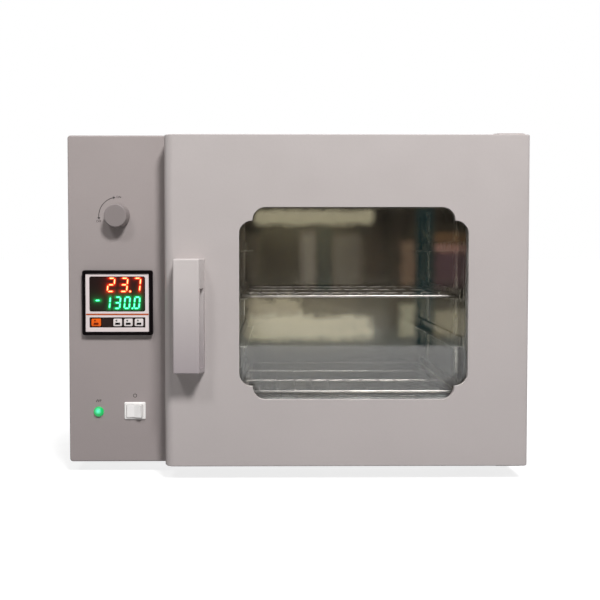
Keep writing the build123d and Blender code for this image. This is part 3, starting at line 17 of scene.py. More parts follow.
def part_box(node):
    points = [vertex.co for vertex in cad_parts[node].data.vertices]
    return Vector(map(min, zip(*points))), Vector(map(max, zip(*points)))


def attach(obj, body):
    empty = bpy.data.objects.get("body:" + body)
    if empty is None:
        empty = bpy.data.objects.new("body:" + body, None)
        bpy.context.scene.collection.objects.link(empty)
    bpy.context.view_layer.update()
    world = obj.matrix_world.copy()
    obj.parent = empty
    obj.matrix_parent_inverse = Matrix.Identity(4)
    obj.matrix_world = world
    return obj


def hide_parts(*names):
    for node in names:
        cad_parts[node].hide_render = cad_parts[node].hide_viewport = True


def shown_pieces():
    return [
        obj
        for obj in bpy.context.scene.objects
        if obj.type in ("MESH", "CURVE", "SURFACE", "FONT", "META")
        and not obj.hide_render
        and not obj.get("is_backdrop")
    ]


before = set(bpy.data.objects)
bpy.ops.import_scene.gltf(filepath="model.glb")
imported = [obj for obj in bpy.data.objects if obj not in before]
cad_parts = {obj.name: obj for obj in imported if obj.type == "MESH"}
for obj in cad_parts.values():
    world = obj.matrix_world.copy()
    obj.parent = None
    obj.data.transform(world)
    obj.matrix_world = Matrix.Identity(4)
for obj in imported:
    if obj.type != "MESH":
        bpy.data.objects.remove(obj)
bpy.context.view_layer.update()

LOG = logging.getLogger("drying_oven")
MM = 0.001
WHITE = (1.0, 1.0, 1.0)
BLACK = (0.0, 0.0, 0.0)
Colour = tuple[float, float, float]
Stretch = tuple[float, float, float]
Socket = bpy.types.NodeSocket
Entry = float | Sequence[float] | Socket


def tone(red: float, green: float, blue: float) -> Colour:
    """A colour written as screen values from 0 to 255, as the linear values that nodes take.

    Args:
        red: Red screen value.
        green: Green screen value.
        blue: Blue screen value.

    Returns:
        The linear colour.
    """
    def linear(value: float) -> float:
        """One channel of a screen value, by the usual curve of screens."""
        part = value / 255
        return part / 12.92 if part <= 0.04045 else ((part + 0.055) / 1.055) ** 2.4

    return linear(red), linear(green), linear(blue)


@dataclass(frozen=True)
class Region:
    """The box that one or more solids of the frame fill at rest."""

    low: Vector
    high: Vector

    @classmethod
    def of(cls, *nodes: str) -> "Region":
        """The common box of some solids.

        Args:
            nodes: Names of the solids.

        Returns:
            Their region.
        """
        boxes = [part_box(node) for node in nodes]
        low = Vector(min(box[0][i] for box in boxes) for i in range(3))
        high = Vector(max(box[1][i] for box in boxes) for i in range(3))
        return cls(low, high)

    @property
    def centre(self) -> Vector:
        """Middle of the region."""
        return (self.low + self.high) / 2

    @property
    def size(self) -> Vector:
        """Width, depth and height of the region."""
        return self.high - self.low

    def front(self, dx: float = 0.0, dz: float = 0.0, proud: float = 0.0) -> Vector:
        """A point on the front of the region.

        Args:
            dx: Distance to the right of the middle.
            dz: Distance above the middle.
            proud: Distance in front of the face.

        Returns:
            The point.
        """
        middle = self.centre
        return Vector((middle.x + dx, self.low.y - proud, middle.z + dz))


# ------------------------------------------------------------------------------ finishes


class Sheet:
    """The node tree of a material or of the world, drawn up node by node."""

    # A Mix node has inputs and outputs for every kind of value. These are the colours' ones,
    # which share their names with the others.
    MIX_ENTRIES = (0, 6, 7)
    MIX_RESULT = 2

    def __init__(self, owner: bpy.types.Material | bpy.types.World) -> None:
        """Starts with an empty tree.

        Args:
            owner: Material or world that the tree belongs to.
        """
        self.owner = owner
        self.owner.use_nodes = True
        self.tree = self.owner.node_tree
        self.tree.nodes.clear()

    def add(self, kind: str, entries: dict[str | int, Entry] | None = None, **settings: object
            ) -> bpy.types.Node:
        """Adds a node.

        Args:
            kind: Node type without its ShaderNode prefix.
            entries: Values or sockets for its inputs, by name or number.
            settings: Attributes of the node itself.

        Returns:
            The node.
        """
        node = self.tree.nodes.new("ShaderNode" + kind)
        for key, value in settings.items():
            setattr(node, key, value)
        for key, value in (entries or {}).items():
            if isinstance(value, bpy.types.NodeSocket):
                self.tree.links.new(value, node.inputs[key])
            elif node.inputs[key].type == "RGBA" and len(value) == 3:
                node.inputs[key].default_value = (*value, 1.0)
            else:
                node.inputs[key].default_value = value
        return node

    def place(self, stretch: Sequence[float] = (1, 1, 1)) -> Socket:
        """Object coordinates, stretched.

        Args:
            stretch: Scale along each axis, where a small number draws the pattern out.

        Returns:
            The vector socket.
        """
        where = self.add("TexCoord").outputs["Object"]
        return self.add("Mapping", {"Vector": where, "Scale": stretch}).outputs["Vector"]

    def noise(self, scale: float, detail: float = 3.0, stretch: Sequence[float] = (1, 1, 1),
              rough: float = 0.55, warp: float = 0.0) -> Socket:
        """Soft noise about 0.5 on the object's coordinates.

        Args:
            scale: Patches per metre.
            detail: Octaves of finer noise.
            stretch: Scale along each axis.
            rough: Share of the finer octaves.
            warp: Distortion of the pattern.

        Returns:
            The noise's value socket.
        """
        node = self.add("TexNoise", {"Vector": self.place(stretch), "Scale": scale,
                                     "Detail": detail, "Roughness": rough, "Distortion": warp})
        return node.outputs["Fac"]

    def spread(self, value: Socket, low: float, high: float, start: float = 0.3,
               end: float = 0.7) -> Socket:
        """Maps a value from one span to another, clamped.

        Args:
            value: Socket to map.
            low: Result at the start of the span.
            high: Result at the end of the span.
            start: Start of the incoming span.
            end: End of the incoming span.

        Returns:
            The mapped socket.
        """
        return self.add("MapRange", {"Value": value, "From Min": start, "From Max": end,
                                     "To Min": low, "To Max": high}).outputs["Result"]

    def blend(self, share: Entry, first: Entry, second: Entry) -> Socket:
        """Mixes two colours.

        Args:
            share: Share of the second colour.
            first: Colour at share 0.
            second: Colour at share 1.

        Returns:
            The mixed colour socket.
        """
        node = self.add("Mix", data_type="RGBA")
        for key, value in zip(self.MIX_ENTRIES, (share, first, second)):
            if isinstance(value, bpy.types.NodeSocket):
                self.tree.links.new(value, node.inputs[key])
            elif node.inputs[key].type == "RGBA":
                node.inputs[key].default_value = (*value[:3], 1.0)
            else:
                node.inputs[key].default_value = value
        return node.outputs[self.MIX_RESULT]

    def relief(self, height: Socket, depth: float, strength: float = 1.0,
               over: Socket | None = None) -> Socket:
        """A bump from a height socket.

        Args:
            height: Height from 0 to 1.
            depth: Depth in metres that a height of 1 stands for.
            strength: Strength of the bump.
            over: Normal that this bump is laid over.

        Returns:
            The normal socket.
        """
        entries: dict[str | int, Entry] = {
            "Height": height, "Distance": depth, "Strength": strength}
        if over is not None:
            entries["Normal"] = over
        return self.add("Bump", entries).outputs["Normal"]

    def output(self, shader: Socket) -> bpy.types.Material:
        """Ends the tree.

        Args:
            shader: Shader socket of the surface.

        Returns:
            The finished material.
        """
        self.add("OutputMaterial", {"Surface": shader})
        return self.owner


def look(name: str) -> tuple[bpy.types.Material, bool]:
    """The material of a finish, which is made when it is first asked for.

    The frame brings in materials that bear its slots' names, such as key_white. A title of
    its own keeps a finish from being taken for one of them.

    Args:
        name: Name of the finish.

    Returns:
        The material, and whether it is new and still has to be drawn up.
    """
    title = f"look_{name}"
    made = bpy.data.materials.get(title)
    return made or bpy.data.materials.new(title), made is None


@dataclass(frozen=True)
class Finish:
    """A finish whose colour drifts, with grain in its gloss and a fine relief.

    A scale is a number of patches per metre. Drift is a share of the colour, and speck is the
    share of a darker one in the specks.
    """

    # Share of the colour that a speck keeps, span of the noise that makes one, and how many
    # times finer than the colour the gloss varies.
    SPECK_SHADE = 0.45
    SPECK_SPAN = (0.45, 0.75)
    GLOSS_FINER = 5

    name: str
    colour: Colour
    drift: float = 0.05
    drift_scale: float = 7.0
    speck: float = 0.03
    speck_scale: float = 900.0
    rough: float = 0.45
    rough_drift: float = 0.06
    relief: float = 0.03 * MM
    relief_scale: float = 650.0
    metallic: float = 0.0
    coat: float = 0.0
    coat_rough: float = 0.12
    stretch: Stretch = (1.0, 1.0, 1.0)
    specular: float = 0.5

    def shaded(self, sheet: Sheet) -> dict[str | int, Entry]:
        """Entries of the surface shader for this finish.

        Args:
            sheet: Tree that the nodes go into.

        Returns:
            Values and sockets for a Principled shader.
        """
        darker = tuple(c * (1 - self.drift) for c in self.colour)
        lighter = tuple(min(1.0, c * (1 + self.drift)) for c in self.colour)
        slow = sheet.spread(sheet.noise(self.drift_scale, 2.0, self.stretch), 0.0, 1.0)
        body = sheet.blend(slow, darker, lighter)
        fine = sheet.noise(self.speck_scale, 2.0, self.stretch)
        spots = sheet.spread(fine, 0.0, self.speck, *self.SPECK_SPAN)
        colour = sheet.blend(spots, body, tuple(c * self.SPECK_SHADE for c in self.colour))
        gloss = sheet.spread(sheet.noise(self.drift_scale * self.GLOSS_FINER, 4.0, self.stretch),
                             self.rough - self.rough_drift, self.rough + self.rough_drift)
        grain = sheet.noise(self.relief_scale, 3.0, self.stretch)
        return {"Base Color": colour, "Roughness": gloss, "Metallic": self.metallic,
                "Specular IOR Level": self.specular, "Coat Weight": self.coat,
                "Coat Roughness": self.coat_rough, "Normal": sheet.relief(grain, self.relief)}

    def material(self) -> bpy.types.Material:
        """The finish as a material, made once.

        Returns:
            The material.
        """
        made, new = look(self.name)
        if new:
            sheet = Sheet(made)
            shader = sheet.add("BsdfPrincipled", self.shaded(sheet))
            sheet.output(shader.outputs[0])
        return made


@dataclass(frozen=True)
class PowderCoat(Finish):
    """Baked powder paint: an orange-peel skin, with painted shade that darkens it towards the
    foot of the panel.

    The painted shade darkens it by a share at one height, and none is left at a higher one.
    """

    # Share of each channel that the full painted shade leaves.
    PAINTED_SHADE_TINT = (0.55, 0.52, 0.56)

    peel: float = 0.05 * MM
    peel_scale: float = 260.0
    painted_shade: float = 0.0
    painted_shade_from: float = 0.0
    painted_shade_to: float = 1.0

    def shaded(self, sheet: Sheet) -> dict[str | int, Entry]:
        """Adds the orange peel and the painted shade towards the foot to the plain finish.

        Args:
            sheet: Tree that the nodes go into.

        Returns:
            Values and sockets for a Principled shader.
        """
        entries = super().shaded(sheet)
        peel = sheet.relief(sheet.noise(self.peel_scale, 1.0), self.peel,
                            over=entries["Normal"])
        height = sheet.add("SeparateXYZ", {"Vector": sheet.place()}).outputs["Z"]
        # Painted shade: strongest at the lower height, gone at the upper one.
        low = sheet.spread(height, self.painted_shade, 0.0, self.painted_shade_from, self.painted_shade_to)
        painted_shade_colour = tuple(c * f for c, f in zip(self.colour, self.PAINTED_SHADE_TINT))
        return entries | {"Normal": peel, "Base Color": sheet.blend(
            low, entries["Base Color"], painted_shade_colour)}


@dataclass(frozen=True)
class RolledSheet(Finish):
    """Cold-rolled bright sheet: drawn-out lines, and slow waves that bend what it mirrors."""

    TARNISH_SCALE = 11.0
    TARNISH_WARP = 0.6
    TARNISH_SPAN = (0.4, 0.75)

    wave: float = 0.9 * MM
    wave_scale: float = 7.0
    line_scale: float = 60.0
    lines: Stretch = (1.0, 1.0, 60.0)
    line_depth: float = 0.004 * MM
    tarnish: Colour = (0.2, 0.18, 0.15)
    tarnish_share: float = 0.35

    def shaded(self, sheet: Sheet) -> dict[str | int, Entry]:
        """Adds the waves, the rolling lines and patches of heat tint.

        Args:
            sheet: Tree that the nodes go into.

        Returns:
            Values and sockets for a Principled shader.
        """
        entries = super().shaded(sheet)
        waves = sheet.relief(sheet.noise(self.wave_scale, 1.0), self.wave)
        lines = sheet.noise(self.line_scale, 3.0, self.lines)
        skin = sheet.relief(lines, self.line_depth, over=waves)
        clouds = sheet.noise(self.TARNISH_SCALE, 4.0, warp=self.TARNISH_WARP)
        tint = sheet.spread(clouds, 0.0, self.tarnish_share, *self.TARNISH_SPAN)
        gloss = sheet.spread(lines, self.rough - self.rough_drift, self.rough + self.rough_drift)
        return entries | {"Normal": skin, "Roughness": gloss,
                          "Base Color": sheet.blend(tint, entries["Base Color"], self.tarnish)}


@dataclass(frozen=True)
class Fibre(Finish):
    """Matted mineral wool: tangled strands in colour and relief, with painted shade in the
    hollows between them.
    """

    strand_scale: float = 150.0
    strand_stretch: Stretch = (1.0, 1.0, 6.0)
    strand_warp: float = 2.5
    tuft_depth: float = 2.0 * MM
    painted_hollow_shade: float = 0.5
    hollow_share: float = 0.6

    def shaded(self, sheet: Sheet) -> dict[str | int, Entry]:
        """Replaces the fine grain by strands, and paints shade into the hollows between them.

        Args:
            sheet: Tree that the nodes go into.

        Returns:
            Values and sockets for a Principled shader.
        """
        entries = super().shaded(sheet)
        strands = sheet.noise(self.strand_scale, 6.0, self.strand_stretch, 0.7,
                              self.strand_warp)
        tuft = sheet.relief(strands, self.tuft_depth)
        # Painted shade: the hollows between the strands are darkened.
        deep = tuple(c * self.painted_hollow_shade for c in self.colour)
        hollow = sheet.spread(strands, self.hollow_share, 0.0, 0.3, 0.6)
        return entries | {"Normal": tuft,
                          "Base Color": sheet.blend(hollow, entries["Base Color"], deep)}


@dataclass(frozen=True)
class Glazing:
    """Clear pane with faint smears, which lets the lamps' light through."""

    name: str
    colour: Colour
    bending: float = 1.5
    smear: float = 0.03
    smear_scale: float = 14.0
    smear_stretch: Stretch = (1.0, 1.0, 2.2)
    smear_warp: float = 0.8
    ripple: float = 0.05 * MM
    ripple_scale: float = 5.0

    def material(self) -> bpy.types.Material:
        """The pane as a material, made once.

        Returns:
            The material.
        """
        made, new = look(self.name)
        if not new:
            return made
        sheet = Sheet(made)
        smears = sheet.noise(self.smear_scale, 4.0, self.smear_stretch, 0.6, self.smear_warp)
        wiped = sheet.spread(smears, 0.0, self.smear, 0.45, 0.8)
        ripple = sheet.relief(sheet.noise(self.ripple_scale, 0.0), self.ripple)
        glass = sheet.add("BsdfPrincipled", {
            "Base Color": self.colour, "Roughness": wiped, "IOR": self.bending,
            "Transmission Weight": 1.0, "Normal": ripple})
        clear = sheet.add("BsdfTransparent", {"Color": self.colour})
        shadow = sheet.add("LightPath").outputs["Is Shadow Ray"]
        both = sheet.add("MixShader", {0: shadow, 1: glass.outputs[0], 2: clear.outputs[0]})
        return sheet.output(both.outputs[0])


@dataclass(frozen=True)
class Lit(Finish):
    """A lit plastic or light-emitting segment, whose light dips a little in patches."""

    glow: Colour = (1.0, 0.1, 0.02)
    power: float = 1.0
    dip: float = 0.14
    dip_scale: float = 420.0
    dip_shade: float = 0.8

    def shaded(self, sheet: Sheet) -> dict[str | int, Entry]:
        """Adds light that varies a little over the surface.

        Args:
            sheet: Tree that the nodes go into.

        Returns:
            Values and sockets for a Principled shader.
        """
        entries = super().shaded(sheet)
        uneven = sheet.spread(sheet.noise(self.dip_scale, 2.0), 1.0 - self.dip, 1.0)
        dimmer = tuple(c * self.dip_shade for c in self.glow)
        light = sheet.blend(uneven, dimmer, self.glow)
        return entries | {"Emission Color": light, "Emission Strength": self.power}


@dataclass(frozen=True)
class PaintedHighlightLens(Lit):
    """A lit lens with a painted highlight: a pale spot laid over its light, near its front."""

    spot: tuple[float, float, float] = (0.0, 0.0, 0.0)
    core: Colour = (0.6, 1.0, 0.9)
    reach: tuple[float, float] = (0.8 * MM, 4.6 * MM)

    def shaded(self, sheet: Sheet) -> dict[str | int, Entry]:
        """Lays the painted highlight over the even light.

        Args:
            sheet: Tree that the nodes go into.

        Returns:
            Values and sockets for a Principled shader.
        """
        entries = super().shaded(sheet)
        # Painted highlight: the core colour near the spot, fading out over the reach.
        away = sheet.add("VectorMath", {0: sheet.place(), 1: self.spot}, operation="DISTANCE")
        share = sheet.spread(away.outputs["Value"], 1.0, 0.0, *self.reach)
        return entries | {"Emission Color": sheet.blend(
            share, entries["Emission Color"], self.core)}


@dataclass(frozen=True)
class HaloFilm(Finish):
    """Smoked display window with the halo of its lit digits, read from two attributes."""

    red: Colour = (0.5, 0.012, 0.002)
    green: Colour = (0.0, 0.34, 0.07)

    def shaded(self, sheet: Sheet) -> dict[str | int, Entry]:
        """Adds the halo's light to the dark window.

        Args:
            sheet: Tree that the nodes go into.

        Returns:
            Values and sockets for a Principled shader.
        """
        entries = super().shaded(sheet)
        warm = sheet.add("Attribute", attribute_name=Controller.WARM).outputs["Fac"]
        cool = sheet.add("Attribute", attribute_name=Controller.COOL).outputs["Fac"]
        halo = sheet.blend(cool, sheet.blend(warm, BLACK, self.red), self.green)
        return entries | {"Emission Color": halo, "Emission Strength": 1.0}


class Paint:
    """The finishes of this oven, by the part of it that wears them."""

    # The darkening of these three coats towards their foot is painted shade.
    DOOR = PowderCoat("door_powder_coat", tone(194, 186, 184), drift=0.025, speck=0.05,
                      rough=0.42, coat=0.12, coat_rough=0.16, painted_shade=0.2, painted_shade_from=-0.05,
                      painted_shade_to=0.45)
    CABINET = PowderCoat("cabinet_powder_coat", tone(171, 161, 159), drift=0.025, speck=0.06,
                         rough=0.44, coat=0.10, coat_rough=0.18, painted_shade=0.36, painted_shade_from=-0.05,
                         painted_shade_to=0.45)
    GRIP = PowderCoat("grip_lacquer", tone(208, 200, 198), drift=0.02, speck=0.03, rough=0.34,
                      coat=0.2, peel=0.02 * MM, painted_shade=0.95, painted_shade_from=0.13, painted_shade_to=0.26)
    STEEL = RolledSheet("chamber_stainless", (0.28, 0.265, 0.24), rough=0.17, rough_drift=0.05,
                        metallic=1.0, drift=0.05, speck=0.1)
    FITTING = RolledSheet("fitting_stainless", (0.58, 0.56, 0.53), rough=0.27, metallic=1.0,
                          wave=0.15 * MM, wave_scale=20, lines=(1.0, 40.0, 1.0),
                          tarnish=(0.46, 0.44, 0.41), tarnish_share=0.2)
    WIRE = Finish("shelf_chrome", (0.54, 0.50, 0.49), rough=0.22, rough_drift=0.05, metallic=1.0,
                  relief=0.02 * MM, relief_scale=300, speck=0.15, speck_scale=350)
    ZINC = Finish("zinc_spangle", (0.55, 0.56, 0.58), rough=0.38, rough_drift=0.14, metallic=1.0,
                  drift=0.16, drift_scale=45, relief=0.02 * MM, speck=0.1)
    PLATED = Finish("plated_screws", (0.58, 0.58, 0.59), rough=0.26, rough_drift=0.1,
                    metallic=1.0, relief=0.03 * MM, relief_scale=1400)
    BRASS = Finish("turned_brass", (0.72, 0.52, 0.22), rough=0.26, metallic=1.0, drift=0.1,
                   relief=0.03 * MM, relief_scale=1100)
    ALUMINIUM = Finish("frame_aluminium", (0.66, 0.66, 0.67), rough=0.36, metallic=1.0,
                       stretch=(1.0, 1.0, 0.05), relief=0.02 * MM)
    WOOL = Fibre("glass_wool", tone(214, 196, 130), drift=0.15, rough=0.95, rough_drift=0.03,
                 specular=0.1)
    SILICONE = Finish("silicone_seal", tone(150, 146, 142), drift=0.05, rough=0.62,
                      relief=0.05 * MM, relief_scale=500, speck=0.15)
    RUBBER = Finish("foot_rubber", tone(38, 37, 37), drift=0.2, rough=0.75, relief=0.08 * MM,
                    relief_scale=700, speck=0.1)
    GLASS = Glazing("oven_glass", (0.95, 0.955, 0.945))
    MOTOR = Finish("motor_steel", tone(140, 140, 146), rough=0.4, metallic=0.9, drift=0.1)
    HEATER = Finish("heater_tube", (0.32, 0.28, 0.25), rough=0.42, metallic=1.0, drift=0.3,
                    drift_scale=35, relief=0.05 * MM)
    CASE_BLACK = Finish("controller_black", tone(10, 5, 7), drift=0.1, rough=0.5, specular=0.08,
                        relief=0.01 * MM, relief_scale=1500, speck=0.2)
    FACE = Finish("controller_face", tone(234, 221, 220), drift=0.02, rough=0.46,
                  relief=0.01 * MM, relief_scale=1600)
    SURROUND = Finish("key_surround", tone(44, 31, 29), drift=0.1, rough=0.4,
                      relief=0.01 * MM, specular=0.15)
    HALO = HaloFilm("display_film", tone(38, 27, 26), drift=0.15, rough=0.16, relief=0.005 * MM,
                    specular=0.3)
    LENS = Finish("display_smoke", tone(18, 11, 10), drift=0.2, rough=0.1, relief=0.004 * MM)
    WARM_EDGE = Lit("digit_red", tone(255, 60, 20), glow=tone(255, 46, 6), power=1.1)
    WARM_CORE = Lit("digit_red_core", tone(255, 190, 120), glow=tone(255, 214, 150), power=1.15)
    COOL_EDGE = Lit("digit_green", tone(20, 230, 140), glow=tone(0, 214, 122), power=1.1)
    COOL_CORE = Lit("digit_green_core", tone(150, 255, 220), glow=tone(120, 255, 214),
                    power=1.1)
    ORANGE = Finish("key_orange", tone(246, 104, 30), drift=0.06, rough=0.4,
                    relief=0.01 * MM, specular=0.12)
    ORANGE_LINE = Finish("orange_line", tone(186, 84, 38), drift=0.05, rough=0.45,
                         relief=0.01 * MM, specular=0.12)
    KEY = Finish("key_white", tone(232, 222, 220), drift=0.02, rough=0.35, relief=0.02 * MM)
    SWITCH = Finish("switch_white", tone(252, 249, 247), drift=0.015, rough=0.22, coat=0.3,
                    coat_rough=0.08, relief=0.008 * MM)
    # The lamp's pale core is a painted highlight over its green light.
    LAMP = PaintedHighlightLens("lamp_green", tone(4, 150, 70), rough=0.08, rough_drift=0.02, coat=0.6,
                   coat_rough=0.04, relief=0.01 * MM, glow=tone(0, 168, 84),
                   core=tone(120, 255, 226), power=0.85)
    LAMP_HOLDER = Finish("lamp_holder", tone(20, 62, 44), rough=0.3, relief=0.02 * MM)
    KNOB = Finish("knob_grey", tone(142, 133, 132), drift=0.03, rough=0.4, coat=0.15,
                  relief=0.03 * MM, relief_scale=1200)
    MAGNET = Finish("magnet_housing", tone(205, 203, 200), rough=0.45)
    INLET_BLACK = Finish("inlet_black", tone(30, 30, 31), rough=0.38, relief=0.04 * MM)
    MARK = Finish("key_ink", tone(14, 9, 9), drift=0.1, rough=0.6, relief=0.01 * MM,
                  specular=0.1)
    SET_MARK = Finish("set_key_ink", tone(122, 34, 6), drift=0.1, rough=0.6,
                      relief=0.01 * MM, specular=0.1)
    INK = Finish("panel_ink", tone(58, 53, 53), drift=0.1, rough=0.6, relief=0.01 * MM,
                 speck=0.2)
    FLOOR = Finish("studio_floor", (0.3, 0.3, 0.3), drift=0.01, rough=0.8)


# ------------------------------------------------------------------------------ modelling


class Domain(Enum):
    """What an edit-mode selection is made of."""

    EDGES = "EDGE"
    FACES = "FACE"


class Axis(Enum):
    """Turn that lays a primitive's own Z along an axis of the frame."""

    X = (0.0, math.pi / 2, 0.0)
    Y = (math.pi / 2, 0.0, 0.0)


def runs_deep(place: Vector, way: Vector) -> bool:
    """Whether an edge runs from front to back, so that a bevel there rounds a corner."""
    return abs(way.y) > Bench.ALONG


class Bench:
    """Modelling steps as they are done by hand, each from an empty selection."""

    # Cosine from which a direction counts as lying along another.
    ALONG = 0.9
    # Share of a letter's size that its capitals fill.
    CAPITALS = 0.7
    # Degrees of a bend that one straight stretch of an arc stands for, and its fewest stretches.
    ARC_STEP = 5
    ARC_LEAST = 6

    @staticmethod
    def clear() -> None:
        """Leaves edit mode and deselects everything."""
        if bpy.context.object is not None and bpy.context.object.mode != "OBJECT":
            bpy.ops.object.mode_set(mode="OBJECT")
        bpy.ops.object.select_all(action="DESELECT")

    @classmethod
    def hold(cls, piece: bpy.types.Object) -> None:
        """Makes one object the only selected and the active one.

        Args:
            piece: The object.
        """
        cls.clear()
        piece.select_set(True)
        bpy.context.view_layer.objects.active = piece

    @classmethod
    def block(cls, name: str, centre: Sequence[float], size: Sequence[float]
              ) -> bpy.types.Object:
        """A box at its size and place, to be shaped further.

        Args:
            name: Name of the piece.
            centre: Its middle.
            size: Its width, depth and height.

        Returns:
            The new object, at the origin with its place in its mesh.
        """
        cls.clear()
        bpy.ops.mesh.primitive_cube_add(size=1.0, location=centre, scale=size)
        return cls.settle(name)

    @classmethod
    def prism(cls, name: str, centre: Sequence[float], radius: float, depth: float,
              sides: int, axis: Axis = Axis.Y) -> bpy.types.Object:
        """A prism or cylinder at its size and place.

        Args:
            name: Name of the piece.
            centre: Its middle.
            radius: Its radius.
            depth: Length along the axis.
            sides: Number of sides.
            axis: Axis that it lies along.

        Returns:
            The new object.
        """
        cls.clear()
        bpy.ops.mesh.primitive_cylinder_add(vertices=sides, radius=radius, depth=depth,
                                            location=centre, rotation=axis.value)
        return cls.settle(name)

    @classmethod
    def flat(cls, name: str, centre: Sequence[float], size: tuple[float, float],
             cells: tuple[int, int]) -> bpy.types.Object:
        """An upright grid that faces the front.

        Args:
            name: Name of the piece.
            centre: Its middle.
            size: Its width and height.
            cells: Its columns and rows.

        Returns:
            The grid.
        """
        cls.clear()
        bpy.ops.mesh.primitive_grid_add(x_subdivisions=cells[0], y_subdivisions=cells[1],
                                        size=1.0, location=centre, rotation=Axis.Y.value)
        bpy.context.object.scale = (*size, 1.0)
        return cls.settle(name)

    @classmethod
    def settle(cls, name: str) -> bpy.types.Object:
        """Names the active object and puts its place into its mesh.

        Args:
            name: Name of the piece.

        Returns:
            The object.
        """
        piece = bpy.context.object
        piece.name = piece.data.name = name
        bpy.ops.object.transform_apply(location=True, rotation=True, scale=True)
        return piece

    @classmethod
    def pick(cls, piece: bpy.types.Object, domain: Domain,
             test: Callable[[Vector, Vector], bool]) -> None:
        """Enters edit mode with what passes a test selected.

        Args:
            piece: Object to edit.
            domain: Edges or faces.
            test: Takes an edge's middle and direction, or a face's middle and normal.
        """
        cls.hold(piece)
        bpy.ops.object.mode_set(mode="EDIT")
        bpy.ops.mesh.select_mode(type=domain.value)
        bpy.ops.mesh.select_all(action="DESELECT")
        mesh = bmesh.from_edit_mesh(piece.data)
        if domain is Domain.EDGES:
            for edge in mesh.edges:
                start, end = (vertex.co for vertex in edge.verts)
                edge.select_set(test((start + end) / 2, (end - start).normalized()))
        else:
            for face in mesh.faces:
                face.select_set(test(face.calc_center_median(), face.normal))
        bmesh.update_edit_mesh(piece.data)

    @classmethod
    def bevel(cls, piece: bpy.types.Object, width: float, segments: int,
              test: Callable[[Vector, Vector], bool]) -> None:
        """Bevels the edges that pass a test.

        Args:
            piece: Object to bevel.
            width: Width of the bevel.
            segments: Its segments.
            test: Takes an edge's middle and direction.
        """
        cls.pick(piece, Domain.EDGES, test)
        bpy.ops.mesh.bevel(offset=width, segments=segments, clamp_overlap=True)
        cls.clear()

    @classmethod
    def smooth(cls, piece: bpy.types.Object, angle: float = 35.0) -> None:
        """Shades a piece smooth where its faces meet at a small angle.

        Args:
            piece: The piece.
            angle: Largest angle in degrees that is still shaded smooth.
        """
        cls.hold(piece)
        bpy.ops.object.shade_smooth_by_angle(angle=math.radians(angle))

    @classmethod
    def join(cls, name: str, parts: Sequence[bpy.types.Object]) -> bpy.types.Object:
        """Joins parts into one piece.

        Args:
            name: Name of the piece.
            parts: Objects that go into it.

        Returns:
            The joined object.
        """
        whole = parts[0]
        cls.hold(whole)
        for part in parts[1:]:
            part.select_set(True)
        bpy.ops.object.join()
        whole.name = whole.data.name = name
        return whole

    @classmethod
    def copy(cls, piece: bpy.types.Object, name: str, move: Matrix) -> bpy.types.Object:
        """A copy with its own mesh, moved.

        Args:
            piece: Object to copy.
            name: Name of the copy.
            move: Matrix that its mesh is moved by.

        Returns:
            The copy.
        """
        twin = piece.copy()
        twin.data = piece.data.copy()
        twin.name = twin.data.name = name
        bpy.context.scene.collection.objects.link(twin)
        twin.data.transform(move)
        return twin

    @classmethod
    def word(cls, name: str, text: str, place: Vector, height: float, depth: float
             ) -> bpy.types.Object:
        """Plain lettering standing on a front face.

        Args:
            name: Name of the piece.
            text: The word.
            place: Its middle.
            height: Height of its capitals.
            depth: Thickness of its ink.

        Returns:
            The lettering as a mesh.
        """
        cls.clear()
        bpy.ops.object.text_add()
        letters = bpy.context.object
        letters.data.body = text
        letters.data.align_x, letters.data.align_y = "CENTER", "CENTER"
        letters.data.size = height / cls.CAPITALS
        letters.data.extrude = depth / 2
        bpy.ops.object.convert(target="MESH")
        piece = bpy.context.object
        piece.data.transform(Matrix.Translation(place) @ Matrix.Rotation(math.pi / 2, 4, "X"))
        piece.name = piece.data.name = name
        return piece

    @classmethod
    def arc(cls, name: str, centre: Vector, radius: float, start: float, end: float,
            width: float, depth: float) -> bpy.types.Object:
        """A flat bar swept round a point of a front face.

        Args:
            name: Name of the piece.
            centre: Middle of the circle.
            radius: Its radius.
            start: First angle in degrees, anticlockwise from +X as seen from the front.
            end: Last angle.
            width: Width of the bar.
            depth: Its thickness.

        Returns:
            The arc.
        """
        turn = math.radians(start)
        first = centre + radius * Vector((math.cos(turn), 0, math.sin(turn)))
        piece = cls.block(name, (0, 0, 0), (width, depth, width / 2))
        piece.data.transform(Matrix.Translation(first) @ Matrix.Rotation(-turn, 4, "Y"))
        lead = Vector((-math.sin(turn), 0, math.cos(turn)))
        cls.pick(piece, Domain.FACES, lambda place, normal: normal.dot(lead) > cls.ALONG)
        steps = max(cls.ARC_LEAST, int(abs(end - start) / cls.ARC_STEP))
        bpy.ops.mesh.spin(steps=steps, axis=(0, 1, 0), angle=math.radians(end - start),
                          center=centre)
        cls.clear()
        return piece


def dress(finish: Finish | Glazing, *nodes: str) -> None:
    """Gives solids of the frame a finish.

    Args:
        finish: The finish.
        nodes: Names of the solids.
    """
    made = finish.material()
    for name in nodes:
        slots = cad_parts[name].data.materials
        if len(slots):
            for index in range(len(slots)):
                slots[index] = made
        else:
            slots.append(made)


def place_on(piece: bpy.types.Object, finish: Finish, body: str) -> None:
    """Gives a new piece its finish and the body that it moves with.

    Args:
        piece: The piece.
        finish: Its finish.
        body: Body of the frame.
    """
    piece.data.materials.clear()
    piece.data.materials.append(finish.material())
    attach(piece, body)


# ------------------------------------------------------------------------------ the oven


